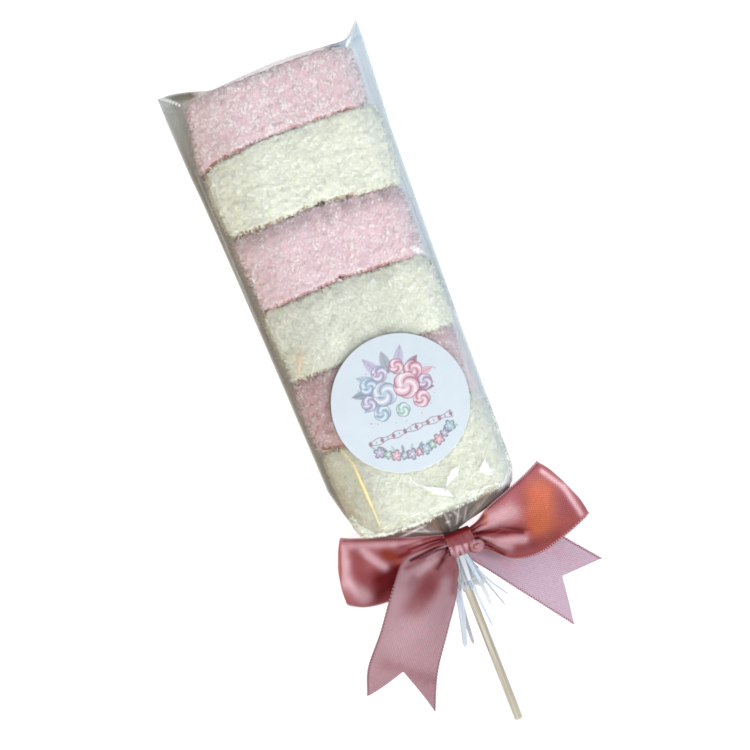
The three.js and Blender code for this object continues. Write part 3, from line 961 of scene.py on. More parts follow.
@dataclass
class FilmTuft:
    """The fringe of film slivers beyond the knot.

    Attributes:
        strips: Rows of start x, y, z, end x, y, z and width.
        loose: How many short slivers stand round the root.
        tones: The slivers' painted reflections, in turn.
        rows: Places along a sliver, with columns across it.
    """

    strips: tuple[tuple[float, ...], ...] = (
        (-0.6, -106, 13.6, -7, -135.4, 11.5, 2.8), (-0.4, -106, 10.6, -3.5, -136, 7, 2.3),
        (4.4, -106, 15.6, 6.6, -124, 19, 1.3), (5.4, -106, 13.6, 14.5, -123.2, 13.5, 1),
        (5.6, -106, 12.4, 12.3, -126.8, 10, 1), (5.2, -106, 11, 8, -127.1, 8, 1.6),
        (3.8, -106, 9.8, 5.5, -132.5, 6, 1.1), (1.6, -103, 17.4, -1.6, -115.5, 17, 1.7),
        (3.3, -103, 18, 2.8, -113, 18.6, 1.9), (4.8, -103, 17.4, 6.8, -117, 17.6, 1.7),
    )
    loose: int = 60
    root: Place = (NECK_X + 0.8, -103.2, MID_Z)
    thickness: float = 0.1
    tones: tuple[Colour, ...] = ((0.74, 0.76, 0.79), (0.62, 0.71, 0.83), (0.46, 0.49, 0.54))
    rows: int = 26
    columns: int = 5

    def sliver(self, row: Array, seed: int) -> Shell:
        """One sliver: straight, with a slight bow and twist, and narrowing to its end.

        Args:
            row: Start, end and width, as in strips.
            seed: Seed of its bow, twist and brightness.

        Returns:
            The closed thin shell with its haze and tone, a painted reflection. Its middle line is
            start + (end - start) · t plus the bow · sin(pi · t), and its cross line turns by the twist and
            curls up at its sides.
        """
        draw = np.random.default_rng(seed)
        start, end, width = row[:3], row[3:6], row[6]
        t = np.linspace(0, 1, self.rows)[:, None]
        s = np.linspace(-1, 1, self.columns)[None, :]
        along = unit(end - start)
        level = unit(np.cross([0.0, 0.0, 1.0], along))
        up = np.cross(along, level)
        twist = draw.uniform(-0.5, 0.5) + draw.uniform(-0.9, 0.9) * t
        bow = draw.uniform(-0.8, 0.8, 2)
        arc = np.sin(np.pi * t)
        half = width / 2 * (1.0 - 0.35 * t**2) * ramp(1.04 - t, 0, 0.08)
        off = s * half
        sideways = arc * bow[0] + off * np.cos(twist)
        upwards = arc * bow[1] + off * np.sin(twist) + 0.12 * s**2 * half
        places = (start + (end - start) * t[..., None]
                  + sideways[..., None] * level + upwards[..., None] * up)
        shell = slab_shell(places, self.thickness, np.zeros((self.rows, self.columns, 2)))
        count = len(shell.points)
        # Each sliver carries a painted reflection: its haze and one of the tones.
        shell.layers = {"haze": np.full(count, draw.uniform(0.4, 0.75)),
                        "sheen_tone": np.tile(self.tones[seed % len(self.tones)], (count, 1))}
        return shell

    def build(self, finish: Material) -> None:
        """Makes the fringe: the long slivers, and short ones spread round the root.

        Args:
            finish: The film's material.
        """
        draw = np.random.default_rng(21)
        rows = [np.array(row) for row in self.strips]
        for _ in range(self.loose):
            way = draw.uniform(0, 2.0 * math.pi)
            out = np.array([math.cos(way), 0.0, math.sin(way)])
            start = np.array(self.root) + out * draw.uniform(0.6, 2.4)
            end = start + out * draw.uniform(0.6, 2.6) - np.array([-0.5, draw.uniform(7, 14), 0.0])
            rows.append(np.concatenate([start, end, [draw.uniform(1, 2.2)]]))
        shells = [self.sliver(row, 40 + k) for k, row in enumerate(rows)]
        made = joined(shells).piece("film_tuft", finish)
        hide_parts("bag")


# ---- the marshmallow blocks ----


BLOCKS = 6
BLOCK_HALF = (31.5, 13.5, 11.8)

# The open hole at a joint, by x, and the bells of painted red-brown shade along it, by x, reach and weight.
HOLES = {3: 1.9, 4: -1.0}
JOINT_SHADES = {
    2: ((-22, 13, 0.9), (6, 9, 0.3), (21, 9, 0.5)),
    3: ((-24, 8, 0.8), (-8, 8, 0.8), (10, 7, 0.7), (24, 7, 0.4)),
    4: ((-13, 10, 0.9), (12, 14, 0.6)),
    5: ((-26, 9, 0.9), (26, 8, 0.4)),
    6: ((-27, 7, 0.8), (27, 8, 0.3)),
}


def joint_gap(x: Array, joint: int) -> Array:
    """How far a block's face stands back at a joint, in millimetres.

    Args:
        x: Places across the pack.
        joint: The joint's number, from 1 at the sealed end to 7.

    Returns:
        A little everywhere, more where slow noise opens the joint and where the painted red-brown
        shade shows, and much at the hole in it.
    """
    bent = np.stack([x, 6.0 * np.sin(x / 9.0)], -1)
    gap = 0.03 + 0.08 * np.clip(soft_noise(bent, 6, 60 + joint), 0, 2)
    gap = gap + 0.26 * np.clip(joint_shade(x, joint) - 0.45, 0, 1)
    if joint in HOLES:
        gap = gap + 0.9 * bell(x - HOLES[joint], 1.5)
    return gap


def joint_shade(x: Array, joint: int) -> Array:
    """How far the painted red-brown shade shows at a joint: the sum of its bells and a little everywhere.

    Args:
        x: Places across the pack.
        joint: The joint's number.

    Returns:
        Shares from 0 to 1.
    """
    bells = (weight * bell(x - centre, reach) for centre, reach, weight in JOINT_SHADES.get(joint, ()))
    return np.clip(0.35 + sum(bells), 0, 1)


def lifted(normals: Array) -> Array:
    """Shading normals of fluff that light shines through: steep ones lean upwards."""
    steep = 1.0 - np.clip(normals[:, 2:], 0, 1)
    return unit(normals + steep * np.array([0.0, 0.0, 0.9]))


@dataclass
class FlakeBed:
    """Where a block's flakes lie, one row each, and which kind each is.

    Attributes:
        cube: Places on the faces of a cube of half size 1.
        places: The same places on the block.
        loose: Whether a flake belongs to the fringe along the edges.
        outer: Whether it belongs to the fringe or to the pack's open end.
        bare: Whether it is a loose flake at the pack's outside.
        pale: Whether it is nearly white.
    """

    cube: Array
    places: Array
    loose: Array
    outer: Array
    bare: Array
    pale: Array


@dataclass
class MarshmallowBlock:
    """One coated block: a lumpy cushion-edged sweet under thousands of coconut flakes.

    Attributes:
        number: Its place, from 1 at the sealed end.
        slot: The record's slot of its coating.
        upper: Its edge towards the sealed end, as x and y pairs.
        lower: Its edge towards the stick.
        left: Its left edge, as y and x pairs.
        right: Its right edge.
        pale_share: Share of its flakes that are nearly white.
        brush: Which way its flakes were stroked, as an angle from +x, and how strongly.
        sag: How far its top falls towards its upper edge.
        dim: How bright its coating is.
        band: How much greyer the coating is along its upper edge, a painted shade.
        glow: How much brighter it is towards its lower edge, and towards its right side, a painted light.
        corner: How much darker it is towards the low left, a painted shade.
        tone: How much nearer the deep tone it is at its left side, a painted warm shade.
        relief: How much brighter it is on its lumps than in its hollows, a painted light and shade.
        uneven: How unevenly the pale flakes are spread.
        widest: Width of its widest flakes.
        flakes: How many flakes lie on it.
        fringe: How many more stand along its edges.
        top_z: Height of its top below the flakes.
        low_z: Height of its flat bottom.
        squareness: Power of its rounding; higher is squarer.
        inset: How far it stands back from its right edge.
    """

    number: int
    slot: Slot
    upper: tuple[Pair, ...]
    lower: tuple[Pair, ...]
    left: tuple[Pair, ...]
    right: tuple[Pair, ...]
    pale_share: float
    brush: Pair
    sag: float
    dim: float
    band: float
    glow: Pair
    corner: float
    tone: float
    relief: float
    uneven: float
    widest: float
    flakes: int = 17600
    fringe: int = 2800
    top_z: float = 24.1
    low_z: float = 0.75
    squareness: float = 17.0
    inset: float = 0.8

    @property
    def first(self) -> bool:
        """Whether it lies at the sealed end."""
        return self.number == 1

    @property
    def last(self) -> bool:
        """Whether it lies at the knot."""
        return self.number == BLOCKS

    def bounds(self, x: Array, y: Array) -> tuple[Array, Array, Array, Array]:
        """The block's four edges near a place.

        Args:
            x: Places across the pack.
            y: Places along it.

        Returns:
            Left and right x, lower and upper y.
        """
        pick = [np.array(sorted(edge)).T for edge in (self.left, self.right, self.lower, self.upper)]
        left, right = (np.interp(y, *edge) for edge in pick[:2])
        lower, upper = (np.interp(x, *edge) for edge in pick[2:])
        return (left - 0.1, right - self.inset,
                lower + joint_gap(x, self.number + 1), upper - joint_gap(x, self.number))

    def warp(self, cube: Array) -> tuple[Array, Array]:
        """Carries places on a cube of half size 1 to the block.

        Args:
            cube: Places on the cube's faces, one row each.

        Returns:
            Places on the block and its outward normals. The cube is first rounded: each place goes to
            q / (|qx|^p + |qy|^p + |qz|^p)^(1/p) in true proportions; then x runs between the left and
            right edges, y between the lower and upper ones and z between bottom and top, the top sags
            towards its upper edge, and soft noise raises lumps.
        """
        p = self.squareness
        size = np.array(BLOCK_HALF)
        reach = (np.abs(cube) ** p).sum(-1, keepdims=True) ** (1.0 / p)
        ball = cube / reach
        normal = unit(np.sign(ball) * np.abs(ball) ** (p - 1.0) / size)
        guess_y = np.mean([edge[1] for edge in self.upper + self.lower]) + ball[:, 1] * size[1]
        left, right, _, _ = self.bounds(ball[:, 0] * size[0], guess_y)
        x = left + (right - left) * (ball[:, 0] + 1.0) / 2.0
        _, _, lower, upper = self.bounds(x, guess_y)
        y = lower + (upper - lower) * (ball[:, 1] + 1.0) / 2.0
        z = self.low_z + (self.top_z - self.low_z) * (ball[:, 2] + 1.0) / 2.0
        z = z - self.sag * ramp(ball[:, 1], 0.62, 1) * ramp(ball[:, 2], 0, 1)
        places = np.stack([x, y, z], -1)
        lumps = 0.07 * soft_noise(places, 8, 100 + self.number, 26)
        lumps = lumps + 0.11 * soft_noise(places, 4, 200 + self.number, 30)
        lumps = lumps + 0.11 * soft_noise(places, 2.3, 300 + self.number, 34)
        return places + normal * (lumps - 0.25)[:, None], normal

    def facing(self, cube: Array, normal: Array) -> Array:
        """The lumpy surface's true normals: the cross product of two short steps along it.

        Args:
            cube: Places on the cube's faces, one row each.
            normal: The block's plain normals there.

        Returns:
            Unit normals, one row each.
        """
        axis = np.abs(cube).argmax(-1)
        steps = 0.4 / np.array(BLOCK_HALF)
        base, _ = self.warp(cube)
        sides = []
        for turn in (1, 2):
            moved = cube.copy()
            along = (axis + turn) % 3
            moved[np.arange(len(cube)), along] += steps[along]
            sides.append(self.warp(moved)[0] - base)
        found = unit(np.cross(sides[0], sides[1]))
        return found * np.sign((found * normal).sum(-1, keepdims=True))

    def shading(self, cube: Array, places: Array) -> Array:
        """How bright the coating is at places on the block: its own tone, with painted light and shade.

        Args:
            cube: Places on the cube's faces, one row each.
            places: The same places on the block.

        Returns:
            The block's own brightness, less in a painted shadow beside the label's upper rim and in painted
            shade towards the low left corner and along its upper edge, and a little more in a painted
            highlight on that edge's rounding. Cream blocks also brighten towards their lower edge and
            their sides, a painted light.
        """
        # Painted shadow of the label above its upper rim.
        off = places[:, :2] - np.array(LABEL_CENTRE)
        far = np.linalg.norm(off, axis=-1) - LABEL_RADIUS
        above = ramp((off * np.array([-0.5, 0.86])).sum(-1) / LABEL_RADIUS, 0.2, 0.8)
        dim = self.dim - 0.28 * bell(np.maximum(far, 0), 2.4) * above
        # Painted shade towards the low left corner.
        low_left = ramp(-places[:, 0], 6, 31) * ramp(-places[:, 1], -6, 34)
        dim = dim - self.corner * low_left
        # Painted light towards the lower edge and the sides.
        dim = dim + self.glow[0] * ramp(-cube[:, 1], 0, 0.7)
        dim = dim + self.glow[1] * ramp(places[:, 0], 6, 26)
        dim = dim + 0.6 * self.glow[0] * ramp(-places[:, 0], 14, 26)
        # Painted grey shade band along the upper edge, and a painted highlight on its rounding.
        spread = soft_noise(places[:, :1], 10, 700 + self.number)
        slope = ramp(cube[:, 1], 0.3, 0.85) * np.clip(1.0 + 0.25 * spread, 0, 1.5)
        edge = ramp(cube[:, 1], *((0.96, 1.0) if self.first else (0.9, 0.99)))
        return dim - self.band * slope + 0.14 * edge

    def core(self) -> Shell:
        """The sweet below the flakes, from a cube sphere of rings round the long axis.

        Returns:
            The closed shell with its tint and brightness. It is darker down its faces, a painted shade,
            and lighter near its top and at its sides that show.
        """
        rows, count, closing = 100, 184, 10
        along = np.linspace(-1, 1, rows)
        along = np.sin(along * math.pi / 2) * 0.35 + along * 0.65
        around = np.linspace(0, 2.0 * math.pi, count, endpoint=False)
        ring = np.stack([np.cos(around), np.sin(around)], -1)
        square = ring / np.abs(ring).max(-1, keepdims=True)
        body = np.concatenate([np.tile(along[:, None, None], (1, count, 1)),
                               np.tile(square[None], (rows, 1, 1))], -1)
        flat = square[None] * np.linspace(0.03, 0.94, closing)[:, None, None]
        left, right = (np.concatenate([np.full((closing, count, 1), end), flat], -1) for end in (-1.0, 1.0))
        cube = np.concatenate([left, body, right[::-1]])
        places, normal = self.warp(cube.reshape(-1, 3))
        rings = places.reshape(cube.shape)
        outer = ramp(np.abs(cube[..., 0]), 0.97, 1)
        if self.first or self.last:
            outer = np.maximum(outer, ramp(cube[..., 1] * (1.0 if self.first else -1.0), 0.9, 1))
        # Painted shade: the tint falls towards the deep tone down the faces, with a painted warm shade at the
        # left.
        depth = ramp(self.unsagged(cube, rings), self.top_z - 2.6, self.top_z - 0.9)
        tint = 0.34 * np.maximum(depth, 0.8 * outer) - 0.5 * self.tone
        shade = self.shading(cube.reshape(-1, 3), places).reshape(tint.shape)
        shell = ring_shell(rings, {"tint": tint, "dim": shade})
        shell.lean = lifted(np.concatenate([normal, [(-1.0, 0.0, 0.0), (1.0, 0.0, 0.0)]]))
        return shell

    def unsagged(self, cube: Array, places: Array) -> Array:
        """The height that places on the block have without its sag."""
        return places[..., 2] + self.sag * ramp(cube[..., 1], 0.62, 1)

    def scatter(self, draw: np.random.Generator) -> tuple[Array, Array, Array]:
        """Where the flakes lie: most at random over the faces, and a fringe along the edges.

        Args:
            draw: The coat's random draws.

        Returns:
            Places on the cube, one row each, whether each belongs to the loose fringe, and whether it
            belongs to the fringe or to the pack's open end. Hidden faces get few.
        """
        tried = draw.uniform(-1, 1, (self.flakes * 6, 3))
        area = np.array([28.0 * 24.0, 62.0 * 24.0, 62.0 * 28.0])
        axis = draw.choice(3, len(tried), p=area / area.sum())
        tried[np.arange(len(tried)), axis] = draw.choice((-1.0, 1.0), len(tried))
        end = 1.0 if self.first else -1.0 if self.last else 0.0
        outer = (axis == 1) & (tried[:, 1] * end > 0)
        rim = 0.1 + 0.9 * ramp(tried[:, 2], 0.1, 0.75)
        keep = np.choose(axis, [0.65, np.where(outer, 0.7, 0.75 * rim), np.where(tried[:, 2] > 0, 1.0, 0.05)])
        kept = np.flatnonzero(draw.uniform(size=len(tried)) < keep)[: self.flakes]
        edge = draw.uniform(-1, 1, (self.fringe, 3))
        across = draw.uniform(size=self.fringe) < 0.5
        edge[np.arange(self.fringe), np.where(across, 0, 1)] = draw.choice((-1.0, 1.0), self.fringe)
        if not self.last:
            edge[~across, 1] = np.where(draw.uniform(size=(~across).sum()) < 0.7, 1.0, -1.0)
        if self.first:
            edge[~across, 1] = -1.0
        low, high = draw.uniform(0.1, 0.99, self.fringe), draw.uniform(0.8, 0.99, self.fringe)
        edge[:, 2] = np.where(across, low, high)
        return (np.concatenate([tried[kept], edge]), np.arange(len(kept) + self.fringe) >= len(kept),
                np.concatenate([outer[kept], np.ones(self.fringe, bool)]))

    def tones(self, draw: np.random.Generator, bed: FlakeBed) -> tuple[Array, Array]:
        """How the flakes are tinted.

        Args:
            draw: The coat's random draws.
            bed: Where they lie, and which kind each is.

        Returns:
            Each flake's tint and brightness. The tint falls towards the deep tone down the faces, in dots
            along the joints and at the left side, all painted shade; lumps are brighter than hollows, a
            painted light and shade.
        """
        x, along = bed.places[:, 0], bed.cube[:, 1]
        count = len(x)
        tint = np.where(bed.pale, draw.uniform(0.68, 0.96, count), draw.uniform(0.43, 0.57, count))
        lumps = (soft_noise(bed.places, 4, 200 + self.number, 30)
                 + soft_noise(bed.places, 2.3, 300 + self.number, 34))
        lower = along < 0
        # Painted red-brown shade in dots along the joints.
        held = np.where(lower, joint_shade(x, self.number + 1), 0.8 * joint_shade(x, self.number))
        bent = np.stack([x, 4.0 * np.sin(x / 5.3)], -1)
        dots = np.clip(0.85 + 0.3 * soft_noise(bent, 1.7, 500 + self.number, 60), 0, 1)
        wall = ramp(np.abs(along), np.where(lower, 0.945, 0.96), 0.98) * (bed.cube[:, 2] > 0)
        wall = wall * held * dots * np.where(bed.loose, ~bed.bare, ~bed.outer)
        # Painted light and shade: less grey band on pale flakes, darker at the joints, brighter on the lumps.
        dim = self.shading(bed.cube, bed.places) + 0.4 * self.band * ramp(along, 0.3, 0.85) * bed.pale
        dim = dim * (1.0 - 0.3 * wall) + self.relief * lumps
        # Painted shade down the faces, and a painted warm shade towards the left.
        low = ramp(self.unsagged(bed.cube, bed.places), self.top_z - 3.4, self.top_z - 1.4)
        low = np.maximum(low, 0.85 * np.maximum(ramp(np.abs(bed.cube[:, 0]), 0.97, 1), bed.outer))
        side = self.tone * (1.0 - 0.6 * ramp(x, -20, 20))
        side = side + (0.16 if self.last else 0.09) * ramp(-x, 12, 30)
        return (tint + 0.035 * lumps) * (0.1 + 0.9 * low) * (1.0 - 0.85 * wall) - side, dim

    def coat(self) -> Shell:
        """The flakes: bent spindles of six corners and eight triangles, laid on the block at random.

        Returns:
            One shell of all flakes. Each lies within a random turn of the surface, stroked by the
            brush, and tips up a little; those of the fringe point out of the edges. Its corners are its
            two ends and four places round its middle, which stands off the line between them.
        """
        draw = np.random.default_rng(1000 + self.number)
        cube, fringe, outer = self.scatter(draw)
        count, loose = len(cube), fringe[:, None]

        def drawn(low: float, high: float) -> Array:
            """One number for each flake."""
            return draw.uniform(low, high, (count, 1))

        base, normal = self.warp(cube)
        smooth = unit(0.7 * self.facing(cube, normal) + 0.3 * normal)
        normal = unit(smooth + 0.22 * draw.normal(size=(count, 3)))
        stroke = np.array([math.cos(self.brush[0]), math.sin(self.brush[0]), 0.0]) * self.brush[1]
        stroke = stroke * draw.choice((-1.0, 1.0), (count, 1))
        way = np.cross(normal, unit(draw.normal(size=(count, 3))))
        way = way + stroke - normal * (stroke * normal).sum(-1, keepdims=True)
        outwards = np.sign(cube) * (np.abs(cube) > 0.999) + 0.45 * draw.normal(size=(count, 3))
        tilt = np.abs(draw.normal(0, 0.14, (count, 1)))
        way = unit(unit(np.where(loose, outwards, way)) + normal * tilt * ~loose)
        side = unit(np.cross(normal, way))
        up = np.cross(way, side)
        patchy = np.clip(1.0 + self.uneven * soft_noise(base, 7, 600 + self.number), 0.15, 2.2)
        bare = (fringe & ((cube[:, 1] > -0.999) | self.last))[:, None]
        pale = (drawn(0, 1) < self.pale_share * patchy[:, None]) | bare
        length = np.where(pale, drawn(0.8, 2.2), drawn(0.5, 1.2)) * np.where(loose, 1.15, 1.0)
        width = np.where(pale, drawn(0.34, self.widest), drawn(0.32, 0.64)) * np.where(loose, 0.75, 1.0)
        thick = drawn(0.1, 0.22)
        bend = draw.normal(0, 0.14, (count, 1)) * length
        spot = base + normal * (drawn(0, 0.2) + 0.14 * pale) + way * length * tilt * 0.2
        poke = np.where(drawn(0, 1) < 0.3, 0.35, -0.3)
        reach = np.where(cube[:, 1:2] > 0.999, poke, -0.1 if self.last else 0.16)
        spot = spot + way * length * reach * bare
        middle = spot + up * bend * 0.6 + side * bend * 0.4
        points = np.stack([spot - way * length / 2, spot + way * length / 2,
                           middle + side * width / 2, middle + up * thick / 2,
                           middle - side * width / 2, middle - up * thick / 2], 1)
        points[..., 2] -= np.maximum(points[..., 2].max(1, keepdims=True) - 25.2, 0)
        points[..., 2] += np.maximum(0.3 - points[..., 2].min(1, keepdims=True), 0)
        corners = np.array([(0, 2, 3), (0, 3, 4), (0, 4, 5), (0, 5, 2), (1, 3, 2), (1, 4, 3), (1, 5, 4),
                            (1, 2, 5)])[:, ::-1]
        faces = (corners[None] + 6 * np.arange(count)[:, None, None]).reshape(-1, 3)
        own = np.stack([-way, way, side, up, -side, -up], 1)
        share = np.where(pale, 0.05, 0.14)[:, None]
        lean = unit(lifted(smooth)[:, None] * (1 - share) + own * share
                    + np.where(loose, up, 0.0)[:, None] * 0.3)
        tint, dim = self.tones(draw, FlakeBed(cube, base, fringe, outer, bare[:, 0], pale[:, 0]))
        return Shell(points.reshape(-1, 3), [faces], {"tint": np.repeat(tint, 6), "dim": np.repeat(dim, 6)},
                     lean=lean.reshape(-1, 3))

    def build(self, finish: Material) -> None:
        """Makes the sweet and its coat.

        Args:
            finish: The coating's material.
        """
        for shell, kind in ((self.core(), "marshmallow"), (self.coat(), "coconut")):
            made = shell.piece(f"{kind}_{self.number}", finish)
            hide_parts("bag")


def block_row() -> list[MarshmallowBlock]:
    """The six blocks, pink and cream in turn.

    Returns:
        The blocks from the sealed end on, with the edges that each shares with the next.
    """
    gaps = (
        ((-33, 82.8), (-29, 84.2), (-15, 84.9), (4, 85.3), (20, 84.9), (29, 83.6), (33, 82)),
        ((-34.5, 57.2), (-28.7, 59.6), (-10.8, 62.1), (7.1, 61.7), (30.8, 60.6), (33.5, 60.4)),
        ((-33.5, 31.9), (-30.3, 32.3), (-11, 32.3), (1.9, 33.1), (17.7, 30.9), (30.6, 29.5), (33.5, 29.6)),
        ((-32.5, 3.2), (-30.5, 3.7), (-11.2, 4.4), (-1.1, 5.1), (10.3, 4.1), (30.4, 3.3), (32.5, 2.6)),
        ((-32.5, -24.2), (-29.6, -24), (-14.2, -23.6), (20.2, -24.3), (31.6, -25), (33.5, -25.2)),
        ((-32.5, -50), (-30.8, -50.1), (-23.7, -51.2), (28.6, -49.4), (33.5, -49.2)),
        ((-31, -81.5), (-27.5, -84.4), (-20, -86.4), (-8, -87.2), (8, -86.6), (20, -86),
         (27, -84.4), (32.5, -80.5)),
    )
    # The band, glow, corner and tone columns are painted shade and painted light.
    looks = (  # pale share, brush, sag, brightness, band, glow, corner and tone
        (0.2, (1.72, 1.3), 0.5, 0.955, 0.1, (0.0, 0.0), 0.18, 0.0),
        (0.3, (1.4, 0.4), 0.3, 0.99, 0.05, (0.02, 0.04), 0.18, 0.0),
        (0.07, (0.85, 1.0), 1.0, 0.96, 0.26, (0.0, 0.0), 0.18, 0.0),
        (0.3, (1.2, 0.5), 1.0, 0.872, 0.05, (0.08, 0.1), 0.18, 0.0),
        (0.1, (1.5, 1.0), 0.6, 0.915, 0.1, (0.0, 0.0), 0.18, 0.18),
        (0.3, (1.6, 0.5), 0.5, 0.895, 0.0, (0.02, 0.04), 0.1, 0.0),
    )
    kinds = ((Slot.PINK, (0.012, 0.7, 0.88)), (Slot.CREAM, (0.026, 0.3, 0.68)))
    blocks = []
    for k, (left, right) in enumerate(BLOCK_SIDES):
        slot, coating = kinds[k % 2]
        blocks.append(MarshmallowBlock(k + 1, slot, gaps[k], gaps[k + 1], left, right, *looks[k], *coating))
    return blocks


# ---- the skewer ----


@dataclass
class BambooStick:
    """The round bamboo skewer, from its blunt end to its point in the first block.

    Attributes:
        x: Where it lies across the pack.
        tip_y: Where its blunt end is.
        bevel: Width of that end's bevel.
        point: Length of its point, with a flat end.
    """

    x: float = 1.6
    radius: float = 1.5
    tip_y: float = -166.9
    length: float = 250.0
    bevel: float = 0.4
    point: float = 6.0
    flat: float = 0.5

    def build(self, finish: Material) -> None:
        """Rings along Y: the radius with its bevel and point, times fine flutes along the fibres.

        Args:
            finish: The wood's material.
        """
        far = self.tip_y + self.length
        neck, tip = self.tip_y + self.bevel, far - self.point
        y = np.concatenate([[self.tip_y, neck], np.linspace(self.tip_y + 1, tip, 240),
                            [far - self.point / 2, far]])
        shape = np.interp(y, [self.tip_y, neck, tip, far],
                          [self.radius - self.bevel, self.radius, self.radius, self.flat])[:, None]
        turn = circle(48)
        slow = soft_noise(np.stack([y / 60.0, y * 0.0], -1), 1, 3)[:, None]
        flute = 0.03 * np.cos(9 * turn + 0.6 * slow) + 0.02 * np.cos(17 * turn + 1.1 * slow)
        r = shape * (1.0 + flute - 0.035)
        rings = np.stack([self.x + r * np.cos(turn), y[:, None] + 0 * r, MID_Z + r * np.sin(turn)], -1)
        made = ring_shell(rings).piece("bamboo_stick", finish)
        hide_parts("skewer")


# ---- the label ----


